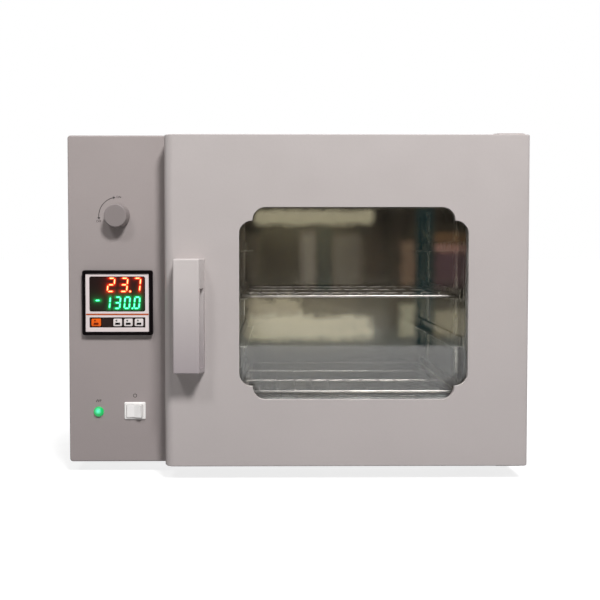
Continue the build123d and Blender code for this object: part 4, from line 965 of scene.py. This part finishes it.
@dataclass
class CabinetShell:
    """Painted casing, front frame, inner sheets, insulation and feet."""

    painted: tuple[str, ...] = ("outer_casing", "rear_cover", "control_fascia", "front_frame")
    zinc: tuple[str, ...] = ("base_plate", "partition_panel", "rear_bulkhead", "motor_bracket",
                             "hinge_blocks")
    screws: tuple[str, ...] = ("foot_screws", "case_screws", "handle_screws", "hinge_pins",
                               "keeper_plate", "vent_spindle", "fan_shaft", "damper_disc")

    def build(self) -> None:
        """Dresses the cabinet's sheet metal, insulation and small fasteners."""
        dress(Paint.CABINET, *self.painted)
        dress(Paint.ZINC, *self.zinc)
        dress(Paint.PLATED, *self.screws)
        dress(Paint.BRASS, "hinge_bushes", "spindle_bush")
        dress(Paint.WOOL, "insulation_jacket", "door_insulation")
        dress(Paint.SILICONE, "door_gasket")
        dress(Paint.RUBBER, "rubber_feet")
        dress(Paint.MAGNET, "catch_magnet")


@dataclass
class PanelPrint:
    """Printed marks of the control column: the vent dial, and signs over lamp and switch.

    An angle is in degrees, anticlockwise from +X as seen from the front. What follows sink,
    the ring's angles apart, is a share: of the line's width for wave_line, ring_line and
    bar_corner, and of the sign's size for the others.
    """

    ink_depth: float = 0.12 * MM
    line: float = 0.9 * MM
    arc_radius: float = 24.6 * MM
    arc_start: float = 104.0
    arc_end: float = 183.0
    arrow: float = 2.1 * MM
    arrow_lead: float = 3.0
    letter_height: float = 2.8 * MM
    off_place: tuple[float, float] = (-24.7 * MM, -6.9 * MM)
    on_place: tuple[float, float] = (1.5 * MM, 24.7 * MM)
    heat_rise: float = 14.5 * MM
    power_rise: float = 20.01 * MM
    sign_size: float = 3.1 * MM
    sink: float = 0.02 * MM
    wave_line: float = 0.7
    wave_bend: float = 0.25
    wave_pitch: float = 0.75
    ring_line: float = 0.8
    ring_radius: float = 0.72
    ring_start: float = 125.0
    ring_end: float = 415.0
    bar_rise: float = 0.6
    bar_length: float = 0.9
    bar_corner: float = 0.2
    parts: list[bpy.types.Object] = field(default_factory=list)

    def build(self) -> None:
        """Lays the ink on the fascia."""
        fascia = Region.of("control_fascia").low.y
        knob = Region.of("vent_knob").centre
        centre = Vector((knob.x, fascia - self.ink_depth / 2 + self.sink, knob.z))
        self.dial(centre)
        lamp, switch = Region.of("indicator_lens").centre, Region.of("switch_housing").centre
        self.heat_sign(Vector((lamp.x, centre.y, lamp.z + self.heat_rise)))
        self.power_sign(Vector((switch.x, centre.y, switch.z + self.power_rise)))
        whole = Bench.join("panel_print", self.parts)
        place_on(whole, Paint.INK, "cabinet")

    def dial(self, centre: Vector) -> None:
        """The arc round the vent knob, an arrowhead at each end, and its two words.

        Args:
            centre: Middle of the knob, in the ink's layer.
        """
        self.parts.append(Bench.arc("dial_arc", centre, self.arc_radius, self.arc_start,
                                    self.arc_end, self.line, self.ink_depth))
        for angle, lead in ((self.arc_start, -1), (self.arc_end, 1)):
            turn = math.radians(angle + lead * self.arrow_lead)
            tip = centre + self.arc_radius * Vector((math.cos(turn), 0, math.sin(turn)))
            head = Bench.prism("dial_arrow", (0, 0, 0), self.arrow, self.ink_depth, 3)
            way = turn + lead * math.pi / 2
            head.data.transform(Matrix.Translation(tip)
                                @ Matrix.Rotation(math.pi / 2 - way, 4, "Y"))
            self.parts.append(head)
        for text, (dx, dz) in (("OFF", self.off_place), ("ON", self.on_place)):
            self.parts.append(Bench.word("dial_word", text, centre + Vector((dx, 0, dz)),
                                         self.letter_height, self.ink_depth))

    def heat_sign(self, middle: Vector) -> None:
        """Three rising waves, for heat, each made of two half turns.

        Args:
            middle: Middle of the sign.
        """
        bend = self.sign_size * self.wave_bend
        pitch = self.sign_size * self.wave_pitch
        for dx in (-pitch, 0.0, pitch):
            for dz, start, end in ((bend, -90, 90), (-bend, 90, 270)):
                self.parts.append(Bench.arc(
                    "heat_wave", middle + Vector((dx, 0, dz)), bend, start, end,
                    self.line * self.wave_line, self.ink_depth))

    def power_sign(self, middle: Vector) -> None:
        """An open ring with a bar in its gap, for mains power.

        Args:
            middle: Middle of the ring.
        """
        line = self.line * self.ring_line
        self.parts.append(Bench.arc("power_ring", middle, self.sign_size * self.ring_radius,
                                    self.ring_start, self.ring_end, line, self.ink_depth))
        rise = Vector((0, 0, self.sign_size * self.bar_rise))
        bar = Bench.block("power_bar", middle + rise,
                          (line, self.ink_depth, self.sign_size * self.bar_length))
        Bench.bevel(bar, self.line * self.bar_corner, 1, runs_deep)
        self.parts.append(bar)


class Bar(Enum):
    """The seven bars of a digit: start and end in half widths and half heights."""

    TOP = ((-1, 1), (1, 1))
    MIDDLE = ((-1, 0), (1, 0))
    BOTTOM = ((-1, -1), (1, -1))
    UPPER_LEFT = ((-1, 0), (-1, 1))
    UPPER_RIGHT = ((1, 0), (1, 1))
    LOWER_LEFT = ((-1, -1), (-1, 0))
    LOWER_RIGHT = ((1, -1), (1, 0))


DIGITS: dict[str, tuple[Bar, ...]] = {
    "-": (Bar.MIDDLE,),
    "0": (Bar.TOP, Bar.BOTTOM, Bar.UPPER_LEFT, Bar.UPPER_RIGHT, Bar.LOWER_LEFT,
          Bar.LOWER_RIGHT),
    "1": (Bar.UPPER_RIGHT, Bar.LOWER_RIGHT),
    "2": (Bar.TOP, Bar.UPPER_RIGHT, Bar.MIDDLE, Bar.LOWER_LEFT, Bar.BOTTOM),
    "3": (Bar.TOP, Bar.UPPER_RIGHT, Bar.MIDDLE, Bar.LOWER_RIGHT, Bar.BOTTOM),
    "7": (Bar.TOP, Bar.UPPER_RIGHT, Bar.LOWER_RIGHT),
}


@dataclass(frozen=True)
class Row:
    """One line of digits of the display, placed from the middle of its window.

    A digit goes with its distance to the right of the middle, as the decimal point does. A
    minus sign is raised by dash_lift.
    """

    # Shares of a bar's stroke: what its length leaves free at its ends, its pointed corners,
    # the decimal point's radius, and the dimmer edge round its bright middle.
    ENDS_FREE = 0.16
    CORNER = 0.44
    DOT = 0.62
    EDGE = 0.26

    name: str
    digits: tuple[tuple[str, float], ...]
    rise: float
    width: float
    height: float
    stroke: float
    point: float
    edge: Lit
    core: Lit
    slant: float = 0.1
    dash_lift: float = 3.0 * MM


@dataclass
class Controller:
    """Temperature controller: case, face, lit display with its halo, and four keys.

    The halo's peak and share are strengths. Of a key's marks, what isn't a length is a share
    of the blot's width, and the arrow's rise and the blot's drop are shares of the key's
    height. The blot leans by degrees.
    """

    WARM = "warm_halo"
    COOL = "cool_halo"
    KEYS = {
        "key_set": ("set_button", Paint.ORANGE, Paint.SET_MARK, 0.0),
        "key_left": ("left_button", Paint.KEY, Paint.MARK, math.pi / 2),
        "key_down": ("down_button", Paint.KEY, Paint.MARK, math.pi),
        "key_up": ("up_button", Paint.KEY, Paint.MARK, 0.0),
    }
    film_gap: float = 0.05 * MM
    film_step: float = 0.55 * MM
    film_margin: float = 1.0 * MM
    bar_depth: float = 0.12 * MM
    point_sides: int = 16
    halo_core: float = 2.0 * MM
    halo_peak: float = 0.8
    halo_reach: float = 4.0 * MM
    halo_share: float = 0.3
    line_height: float = 2.0 * MM
    line_depth: float = 0.1 * MM
    line_proud: float = 0.04 * MM
    line_margin: float = 0.6 * MM
    line_corner: float = 0.3 * MM
    cap_inset: float = 1.25 * MM
    cap_lower: float = 2.4 * MM
    cap_root: float = 1.0 * MM
    cap_corner: float = 1.5 * MM
    cap_rim: float = 0.25 * MM
    rim_reach: float = 0.01 * MM
    mark_depth: float = 0.1 * MM
    mark_proud: float = 0.02 * MM
    arrow_size: float = 0.75
    arrow_left: float = 0.6
    arrow_rise: float = 0.2
    blot: tuple[float, float] = (2.3 * MM, 2.9 * MM)
    blot_corner: float = 0.2
    blot_pitch: float = 0.85
    blot_drop: float = 0.14
    blot_step: float = 0.005 * MM
    blot_lean: float = 18.0
    rows: tuple[Row, ...] = (
        Row("display_reading", (("2", -7.9 * MM), ("3", 9.0 * MM), ("7", 25.7 * MM)),
            12.0 * MM, 8.2 * MM, 17.2 * MM, 3.0 * MM, 16.8 * MM, Paint.WARM_EDGE,
            Paint.WARM_CORE),
        Row("display_setting", (("-", -25.8 * MM), ("1", -12.8 * MM), ("3", 0.5 * MM),
                                ("0", 12.9 * MM), ("0", 25.6 * MM)),
            -11.4 * MM, 6.4 * MM, 14.6 * MM, 2.4 * MM, 19.6 * MM, Paint.COOL_EDGE,
            Paint.COOL_CORE),
    )

    def build(self) -> None:
        """Dresses the solids and builds the display's light and the keys' marks."""
        dress(Paint.CASE_BLACK, "controller_case")
        dress(Paint.FACE, "controller_faceplate")
        dress(Paint.SURROUND, "key_surround")
        dress(Paint.LENS, "display_lens", "display_module")
        for row in self.rows:
            self.row(row)
        self.film()
        self.orange_line()
        for node, (body, finish, ink, turn) in self.KEYS.items():
            self.key(node, body, finish)
            self.key_mark(node, body, ink, turn)

    def strokes(self, row: Row) -> list[tuple[Vector, Vector]]:
        """Start and end of each lit bar of a row, on the window's front.

        Args:
            row: The row of digits.

        Returns:
            Pairs of points.
        """
        window = Region.of("display_lens")
        lines = []
        for digit, dx in row.digits:
            lift = row.dash_lift if digit == "-" else 0.0
            for bar in DIGITS[digit]:
                ends = []
                for across, up in bar.value:
                    z = up * row.height / 2 + lift
                    x = dx + across * row.width / 2 + z * row.slant
                    ends.append(window.front(x, row.rise + z))
                lines.append((ends[0], ends[1]))
        return lines

    def row(self, row: Row) -> None:
        """Builds one row of lit bars and its decimal point.

        Args:
            row: The row.
        """
        window = Region.of("display_lens")
        depth = self.film_gap + self.bar_depth / 2
        bars = []
        for start, end in self.strokes(row):
            length = (end - start).length
            bar = Bench.block("bar", (0, 0, 0), (length - row.stroke * row.ENDS_FREE,
                                                 self.bar_depth, row.stroke))
            Bench.bevel(bar, row.stroke * row.CORNER, 1, runs_deep)
            turn = math.atan2(end.z - start.z, end.x - start.x)
            bar.data.transform(Matrix.Translation((start + end) / 2 - Vector((0, depth, 0)))
                               @ Matrix.Rotation(-turn, 4, "Y"))
            bars.append(bar)
        low = row.rise - row.height / 2
        point = Bench.prism("point", window.front(row.point, low, depth),
                            row.stroke * row.DOT, self.bar_depth, self.point_sides)
        bars.append(point)
        digits = Bench.join(row.name, bars)
        digits.data.materials.clear()
        digits.data.materials.append(row.edge.material())
        digits.data.materials.append(row.core.material())
        Bench.pick(digits, Domain.FACES, lambda place, normal: normal.y < -Bench.ALONG)
        bpy.ops.mesh.inset(thickness=row.stroke * row.EDGE, depth=0.0, use_individual=True)
        digits.active_material_index = 1
        bpy.ops.object.material_slot_assign()
        Bench.clear()
        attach(digits, "cabinet")

    def film(self) -> None:
        """Builds the smoked film that carries the digits' halo."""
        window = Region.of("display_lens")
        cells = (int(window.size.x / self.film_step), int(window.size.z / self.film_step))
        size = (window.size.x - 2 * self.film_margin, window.size.z - 2 * self.film_margin)
        film = Bench.flat("display_film", window.front(proud=self.film_gap), size, cells)
        for name, row in zip((self.WARM, self.COOL), self.rows):
            layer = film.data.attributes.new(name, "FLOAT", "POINT")
            lines = self.strokes(row)
            layer.data.foreach_set("value", [self.halo(v.co, lines)
                                             for v in film.data.vertices])
        place_on(film, Paint.HALO, "cabinet")

    def halo(self, point: Vector, lines: list[tuple[Vector, Vector]]) -> float:
        """Strength of a row's halo at a point, from its nearest lit bar.

        Args:
            point: The point.
            lines: Start and end of each lit bar.

        Returns:
            The strength, from 0 to 1.
        """
        near = min(self.away(point, start, end) for start, end in lines)
        bright = self.halo_peak * math.exp(-(near / self.halo_core) ** 2)
        wide = self.halo_share * math.exp(-near / self.halo_reach)
        return min(1.0, bright + wide)

    @staticmethod
    def away(point: Vector, start: Vector, end: Vector) -> float:
        """Distance from a point to the line between two others, across the front.

        Args:
            point: The point.
            start: One end of the line.
            end: Its other end.

        Returns:
            The distance.
        """
        run = end - start
        share = max(0.0, min(1.0, (point - start).dot(run) / run.length_squared))
        gap = point - (start + run * share)
        return math.hypot(gap.x, gap.z)

    def orange_line(self) -> None:
        """The thin coloured line between the window and the keys."""
        face, keys = Region.of("controller_faceplate"), Region.of("key_surround")
        window = Region.of("display_lens")
        middle = (window.low.z + keys.high.z) / 2
        line = Bench.block(
            "face_line", face.front(0, middle - face.centre.z, self.line_proud),
            (face.size.x - 2 * self.line_margin, self.line_depth, self.line_height))
        Bench.bevel(line, self.line_corner, 2, runs_deep)
        place_on(line, Paint.ORANGE_LINE, "cabinet")

    def key(self, node: str, body: str, finish: Finish) -> None:
        """A key with rounded corners and a softened rim, in place of the plain solid.

        Args:
            node: Solid that it stands for.
            body: Body that it moves with.
            finish: Its finish.
        """
        key = Region.of(node)
        surround = Region.of("key_surround")
        depth = surround.low.y - key.low.y + self.cap_root
        height = min(key.size.z, surround.size.z) - self.cap_lower
        cap = Bench.block(f"{node}_cap", key.front(proud=-depth / 2),
                          (key.size.x - 2 * self.cap_inset, depth, height))
        rim = key.low.y + self.rim_reach
        Bench.bevel(cap, self.cap_corner, 4, runs_deep)
        Bench.bevel(cap, self.cap_rim, 2, lambda place, way: place.y < rim)
        Bench.smooth(cap)
        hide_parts(node)
        place_on(cap, finish, body)

    def key_mark(self, node: str, body: str, ink: Finish, turn: float) -> None:
        """A small arrow over a slanted blot, printed on a key.

        Args:
            node: Solid of the key.
            body: Body that the key moves with.
            ink: Finish of the print.
            turn: Turn of the arrow from upright.
        """
        key = Region.of(node)
        width, height = self.blot
        arrow = Bench.prism("arrow", (0, 0, 0), width * self.arrow_size, self.mark_depth, 3)
        place = key.front(-width * self.arrow_left, key.size.z * self.arrow_rise,
                          self.mark_proud)
        arrow.data.transform(Matrix.Translation(place) @ Matrix.Rotation(-turn, 4, "Y"))
        marks = [arrow]
        lean = Matrix.Rotation(math.radians(self.blot_lean), 4, "Y")
        for step in (-1, 0, 1):
            blot = Bench.block("blot", (0, 0, 0), (width, self.mark_depth, height))
            Bench.bevel(blot, width * self.blot_corner, 2, runs_deep)
            # Each blot lies a little prouder than its left neighbour, which it overlaps.
            place = key.front(step * width * self.blot_pitch, -key.size.z * self.blot_drop,
                              self.mark_proud + step * self.blot_step)
            blot.data.transform(Matrix.Translation(place) @ lean)
            marks.append(blot)
        place_on(Bench.join(f"{node}_mark", marks), ink, body)


@dataclass
class PanelFittings:
    """Vent knob, mains switch and heating lamp of the control column."""

    dome_rise: float = 5.0 * MM
    dome_rings: int = 16
    dome_smooth: float = 50.0
    highlight_rise: float = 1.6 * MM
    highlight_depth: float = 0.6 * MM

    def build(self) -> None:
        """Dresses the fittings and blows the lamp's round dome."""
        dress(Paint.KNOB, "vent_knob")
        dress(Paint.SWITCH, "switch_housing", "switch_rocker")
        dress(Paint.LAMP_HOLDER, "indicator_holder")
        self.dome()

    def dome(self) -> None:
        """A smooth half ball, closed at its back, in place of the faceted lens."""
        lens = Region.of("indicator_lens")
        radius = lens.size.x / 2
        foot = Vector((lens.centre.x, lens.low.y + self.dome_rise, lens.centre.z))
        Bench.clear()
        bpy.ops.mesh.primitive_uv_sphere_add(
            segments=2 * self.dome_rings, ring_count=self.dome_rings, radius=radius,
            location=foot, rotation=Axis.Y.value, scale=(1.0, 1.0, self.dome_rise / radius))
        dome = Bench.settle("lamp_dome")
        Bench.hold(dome)
        bpy.ops.object.mode_set(mode="EDIT")
        bpy.ops.mesh.select_all(action="SELECT")
        bpy.ops.mesh.bisect(plane_co=foot, plane_no=(0, 1, 0), clear_outer=True,
                            use_fill=True)
        Bench.smooth(dome, self.dome_smooth)
        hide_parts("indicator_lens")
        # Place of the lens's painted highlight: a little above its middle, just behind its front.
        spot = (lens.centre.x, lens.low.y + self.highlight_depth, lens.centre.z + self.highlight_rise)
        place_on(dome, replace(Paint.LAMP, spot=spot), "cabinet")


class Door:
    """Door with its scalloped window, panes, frame and grip."""

    def build(self) -> None:
        """Dresses the door's solids."""
        dress(Paint.DOOR, "door_shell", "hinge_brackets")
        dress(Paint.GRIP, "handle_grip")
        dress(Paint.FITTING, "door_inner_panel")
        dress(Paint.ALUMINIUM, "window_frame")
        dress(Paint.GLASS, "glass_outer", "glass_inner")


@dataclass
class WireShelf:
    """A shelf of round wire: a bent frame, braces between its sides and rods on top."""

    # The corners as the wire comes to them: signs of their places from the middle.
    ROUND = ((1, -1), (1, 1), (-1, 1), (-1, -1))

    frame_wire: float = 2.4 * MM
    rod: float = 1.35 * MM
    brace: float = 2.0 * MM
    corner: float = 12.0 * MM
    pitch: float = 24.0 * MM
    braces: int = 2
    end_room: float = 5.0 * MM
    foot_gap: float = 0.1 * MM
    rod_end: float = 0.3 * MM
    sides: int = 12
    bend: int = 6
    smooth: float = 50.0
    merge: float = 0.05 * MM

    def build(self, node: str, body: str) -> None:
        """Bends and joins the wires, in place of the faceted solid.

        Args:
            node: Solid that the shelf stands for.
            body: Body that it moves with.
        """
        room = Region.of(node)
        level = room.low.z + self.frame_wire + self.foot_gap
        parts = [self.hoop(room, level)]
        inside = (room.size.x - 2 * self.frame_wire, room.size.y - 2 * self.frame_wire)
        for number in range(1, self.braces + 1):
            y = room.low.y + self.frame_wire + inside[1] * number / (self.braces + 1)
            parts.append(Bench.prism("brace", (room.centre.x, y, level), self.brace,
                                     inside[0], self.sides, Axis.X))
        count = int((room.size.x - self.end_room) / self.pitch)
        first = room.centre.x - (count - 1) * self.pitch / 2
        rod = Bench.prism("rod", (first, room.centre.y, room.high.z - self.rod), self.rod,
                          inside[1], self.sides)
        Bench.bevel(rod, self.rod_end, 1, lambda place, way: not runs_deep(place, way))
        parts.append(rod)
        for number in range(1, count):
            parts.append(Bench.copy(rod, "rod", Matrix.Translation((number * self.pitch, 0, 0))))
        shelf = Bench.join(f"{node}_wire", parts)
        Bench.smooth(shelf, self.smooth)
        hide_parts(node)
        place_on(shelf, Paint.WIRE, body)

    def hoop(self, room: Region, level: float) -> bpy.types.Object:
        """The frame: one round wire run along each side and bent at each corner.

        Args:
            room: Region that the shelf fills.
            level: Height of the wire's middle.

        Returns:
            The closed hoop.
        """
        across = room.size.x / 2 - self.frame_wire
        deep = room.size.y / 2 - self.frame_wire
        middle = Vector((room.centre.x, room.centre.y, level))
        start = middle + Vector((self.corner - across, -deep, 0))
        Bench.clear()
        bpy.ops.mesh.primitive_circle_add(vertices=self.sides, radius=self.frame_wire,
                                          location=start, rotation=Axis.X.value)
        hoop = Bench.settle("hoop")
        Bench.hold(hoop)
        bpy.ops.object.mode_set(mode="EDIT")
        bpy.ops.mesh.select_all(action="SELECT")
        for quarter, (side, way) in enumerate(self.ROUND):
            turn = Matrix.Rotation(quarter * math.pi / 2, 3, "Z")
            run = 2 * ((deep if quarter % 2 else across) - self.corner)
            bpy.ops.mesh.extrude_region_move(
                TRANSFORM_OT_translate={"value": turn @ Vector((run, 0, 0))})
            pivot = middle + Vector((side * (across - self.corner),
                                     way * (deep - self.corner), 0))
            bpy.ops.mesh.spin(steps=self.bend, axis=(0, 0, -1), angle=math.pi / 2,
                              center=pivot)
        bpy.ops.mesh.select_all(action="SELECT")
        bpy.ops.mesh.remove_doubles(threshold=self.merge)
        bpy.ops.mesh.normals_make_consistent(inside=False)
        Bench.clear()
        return hoop


@dataclass
class Chamber:
    """Stainless chamber with its racks, shelves, heater and fan."""

    shelves: tuple[tuple[str, str], ...] = (("shelf_upper", "upper_shelf"),
                                            ("shelf_lower", "lower_shelf"))

    def build(self) -> None:
        """Dresses what stands in the chamber and its air duct, and bends the shelves."""
        dress(Paint.STEEL, "chamber_liner")
        dress(Paint.FITTING, "duct_panel", "rack_left", "rack_right", "temperature_probe")
        dress(Paint.HEATER, "heating_element")
        dress(Paint.ALUMINIUM, "fan_wheel")
        for node, body in self.shelves:
            WireShelf().build(node, body)


class RearServices:
    """Mains inlet, exhaust, intake, motor and electrics."""

    def build(self) -> None:
        """Dresses the fittings behind the column and on the rear."""
        dress(Paint.FITTING, "exhaust_pipe", "intake_duct")
        dress(Paint.INLET_BLACK, "power_inlet", "terminal_block")
        dress(Paint.MOTOR, "fan_motor", "solid_state_relay")


@dataclass(frozen=True)
class Patch:
    """A soft-edged patch of the room screen, with its limits in the frame's metres."""

    left: float
    right: float
    low: float
    high: float
    colour: Colour
    blur: float = 0.012
    ragged: float = 0.0


@dataclass
class RoomCard:
    """A dim screen behind the camera that only panes and bright metal mirror.

    The folds run up and down the screen, and the rag frays the edges of its patches.
    """

    place: tuple[float, float, float] = (0.2, -1.6, 1.2)
    size: tuple[float, float] = (7.0, 2.4)
    gain: float = 3.0
    fold_scale: float = 9.0
    fold_stretch: Stretch = (1.0, 1.0, 0.06)
    rag_scale: float = 26.0
    dark: Colour = tone(22, 18, 15)
    fold: Colour = tone(58, 52, 45)
    patches: tuple[Patch, ...] = (
        Patch(-0.9, 1.2, -0.2, 0.19, tone(62, 58, 51), 0.03, 0.02),
        Patch(-0.9, 1.2, -0.2, 0.035, tone(122, 124, 118), 0.035, 0.01),
        Patch(-0.13, 0.27, 0.340, 0.366, tone(26, 24, 22), 0.010, 0.006),
        Patch(-0.09, 0.27, 0.370, 0.412, tone(206, 196, 164), 0.010, 0.006),
        Patch(0.057, 0.100, 0.186, 0.345, tone(118, 110, 100), 0.014, 0.004),
        Patch(0.152, 0.238, 0.186, 0.340, tone(96, 90, 80), 0.016, 0.006),
        Patch(0.103, 0.146, 0.165, 0.366, tone(20, 36, 36), 0.009),
        Patch(0.361, 0.404, 0.187, 0.320, tone(124, 100, 82), 0.012, 0.006),
        Patch(0.46, 0.60, 0.187, 0.30, tone(92, 68, 74), 0.018, 0.008),
        Patch(0.46, 0.60, 0.285, 0.312, tone(158, 118, 106), 0.010, 0.005),
        Patch(0.46, 0.60, 0.312, 0.345, tone(112, 84, 60), 0.010, 0.005),
        Patch(0.05, 0.36, 0.085, 0.152, tone(50, 40, 32), 0.018, 0.016),
        Patch(-0.113, 0.05, 0.080, 0.142, tone(148, 138, 118), 0.014, 0.02),
        Patch(-0.113, 0.268, 0.020, 0.092, tone(206, 198, 172), 0.011, 0.010),
        Patch(0.354, 0.404, 0.030, 0.127, tone(166, 162, 138), 0.009, 0.006),
        Patch(0.46, 0.60, 0.030, 0.108, tone(150, 142, 118), 0.012, 0.008),
        Patch(0.404, 0.458, -0.02, 0.42, tone(30, 52, 54), 0.008),
    )

    def build(self) -> None:
        """Hangs the screen and paints its light."""
        card = Bench.flat("room_card", self.place, self.size, (1, 1))
        sheet = Sheet(bpy.data.materials.new("room_card"))
        spot = sheet.add("SeparateXYZ", {"Vector": sheet.place()})
        across, up = spot.outputs["X"], spot.outputs["Z"]
        folds = sheet.noise(self.fold_scale, 3.0, self.fold_stretch, 0.6)
        shade = sheet.blend(sheet.spread(folds, 0.0, 1.0, 0.4, 0.6), self.dark, self.fold)
        rag = sheet.noise(self.rag_scale, 4.0, rough=0.65)
        for patch in self.patches:
            shade = sheet.blend(self.mask(sheet, across, up, rag, patch), shade, patch.colour)
        light = sheet.add("Emission", {"Color": shade, "Strength": self.gain})
        card.data.materials.append(sheet.output(light.outputs[0]))
        card.visible_camera = card.visible_diffuse = card.visible_shadow = False
        card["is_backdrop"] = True

    @staticmethod
    def mask(sheet: Sheet, across: Socket, up: Socket, rag: Socket, patch: Patch) -> Socket:
        """Share of a patch at a point of the screen.

        Args:
            sheet: Tree that the nodes go into.
            across: Place along the screen.
            up: Height on the screen.
            rag: Noise that frays the patch's edges.
            patch: The patch.

        Returns:
            The share, from 0 to 1.
        """
        stray = sheet.spread(rag, -patch.ragged, patch.ragged)
        edges = []
        for value, start, end in ((across, patch.left, patch.right), (up, patch.low, patch.high)):
            moved = sheet.add("Math", {0: value, 1: stray}, operation="ADD").outputs[0]
            edges.append(sheet.spread(moved, 0.0, 1.0, start - patch.blur, start + patch.blur))
            edges.append(sheet.spread(moved, 1.0, 0.0, end - patch.blur, end + patch.blur))
        share = edges[0]
        for edge in edges[1:]:
            share = sheet.add("Math", {0: share, 1: edge}, operation="MULTIPLY").outputs[0]
        return share


@dataclass(frozen=True)
class Lamp:
    """A soft round lamp: its place, its width in metres and its power in watts."""

    name: str
    place: tuple[float, float, float]
    width: float
    power: float


@dataclass
class Studio:
    """Pale floor, soft lamps and the camera.

    The floor gives light of its own, which rises from lift_near to lift_far between two
    distances from the oven. The camera's focal length and shift are in pixels of a picture
    as wide as the one named here, and its turns are in radians.
    """

    floor_size: float = 40.0
    lift_near: float = 0.8
    lift_far: float = 1.0
    lift_span: tuple[float, float] = (0.8, 2.2)
    camera_place: tuple[float, float, float] = (-0.02458, -1.21737, 0.29489)
    yaw: float = 0.00797
    pitch: float = -0.03224
    focal: float = 798.37
    picture: float = 600.0
    shift: tuple[float, float] = (-18.61, 25.12)
    sensor: float = 36.0
    clip: tuple[float, float] = (0.01, 50.0)
    lamps: tuple[Lamp, ...] = (
        Lamp("lamp_key", (0.64, -2.1, 2.35), 0.6, 78.0),
        Lamp("lamp_fill", (-0.95, -1.8, 2.2), 0.5, 15.0),
        Lamp("lamp_rear", (0.4, 2.3, 1.7), 0.9, 46.0),
    )
    lamp_target: tuple[float, float, float] = (0.0, 0.0, 0.2)
    ambient: float = 0.06
    mirrored: float = 0.35

    def build(self) -> None:
        """Sets up the whole studio."""
        self.floor()
        self.world()
        for lamp in self.lamps:
            self.hang(lamp)
        RoomCard().build()
        self.camera()
        bpy.context.scene.view_settings.view_transform = "Standard"

    @staticmethod
    def seen(sheet: Sheet, mirrored: float = 1.0) -> Socket:
        """1 for camera and transmission rays, and a share for glossy rays.

        Args:
            sheet: Tree that the nodes go into.
            mirrored: Share that glossy rays see.

        Returns:
            The socket.
        """
        path = sheet.add("LightPath")
        glossy = sheet.add("Math", {0: path.outputs["Is Glossy Ray"], 1: mirrored},
                           operation="MULTIPLY")
        first = sheet.add("Math", {0: path.outputs["Is Camera Ray"],
                                   1: glossy.outputs[0]}, operation="MAXIMUM")
        return sheet.add("Math", {0: first.outputs[0],
                                  1: path.outputs["Is Transmission Ray"]},
                         operation="MAXIMUM").outputs[0]

    def floor(self) -> None:
        """A plain pale floor that keeps the shadow of what stands on it."""
        Bench.clear()
        bpy.ops.mesh.primitive_plane_add(size=self.floor_size)
        floor = Bench.settle("studio_floor")
        sheet = Sheet(bpy.data.materials.new("studio_floor"))
        matt = sheet.add("BsdfPrincipled", Paint.FLOOR.shaded(sheet))
        away = sheet.add("VectorMath", {0: sheet.place()}, operation="LENGTH").outputs["Value"]
        own = sheet.spread(away, self.lift_near, self.lift_far, *self.lift_span)
        lift = sheet.add("Math", {0: self.seen(sheet, self.mirrored), 1: own},
                         operation="MULTIPLY")
        light = sheet.add("Emission", {"Color": WHITE, "Strength": lift.outputs[0]})
        both = sheet.add("AddShader", {0: matt.outputs[0], 1: light.outputs[0]})
        floor.data.materials.append(sheet.output(both.outputs[0]))
        floor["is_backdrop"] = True

    def world(self) -> None:
        """White where it is seen, and a soft even light elsewhere."""
        world = bpy.data.worlds.new("studio_world")
        bpy.context.scene.world = world
        sheet = Sheet(world)
        seen = self.seen(sheet)
        strength = sheet.spread(seen, self.ambient, 1.0, 0.0, 1.0)
        light = sheet.add("Background", {"Color": WHITE, "Strength": strength})
        sheet.add("OutputWorld", {"Surface": light.outputs[0]})

    def hang(self, lamp: Lamp) -> None:
        """Hangs a lamp and turns it to the oven.

        Args:
            lamp: The lamp.
        """
        Bench.clear()
        bpy.ops.object.light_add(type="AREA", location=lamp.place)
        light = bpy.context.object
        light.name = lamp.name
        light.data.shape, light.data.size = "DISK", lamp.width
        light.data.energy = lamp.power
        aim = Vector(self.lamp_target) - Vector(lamp.place)
        light.rotation_euler = aim.to_track_quat("-Z", "Y").to_euler()

    def camera(self) -> None:
        """Sets up the camera."""
        Bench.clear()
        bpy.ops.object.camera_add(location=self.camera_place, rotation=(
            math.pi / 2 + self.pitch, 0.0, -self.yaw))
        camera = bpy.context.object
        camera.name = "camera"
        camera.data.sensor_width = self.sensor
        camera.data.lens = self.focal / self.picture * self.sensor
        camera.data.shift_x = -self.shift[0] / self.picture
        camera.data.shift_y = -self.shift[1] / self.picture
        camera.data.clip_start, camera.data.clip_end = self.clip
        bpy.context.scene.camera = camera


def main() -> None:
    """Builds every sub-assembly in order, and the studio."""
    logging.basicConfig(level=logging.INFO, format="%(name)s %(message)s")
    for part in (CabinetShell(), PanelPrint(), Controller(), PanelFittings(), Door(),
                 Chamber(), RearServices(), Studio()):
        part.build()
        LOG.info("%s built, %d pieces shown", type(part).__name__, len(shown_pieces()))


if __name__ == "__main__":
    main()
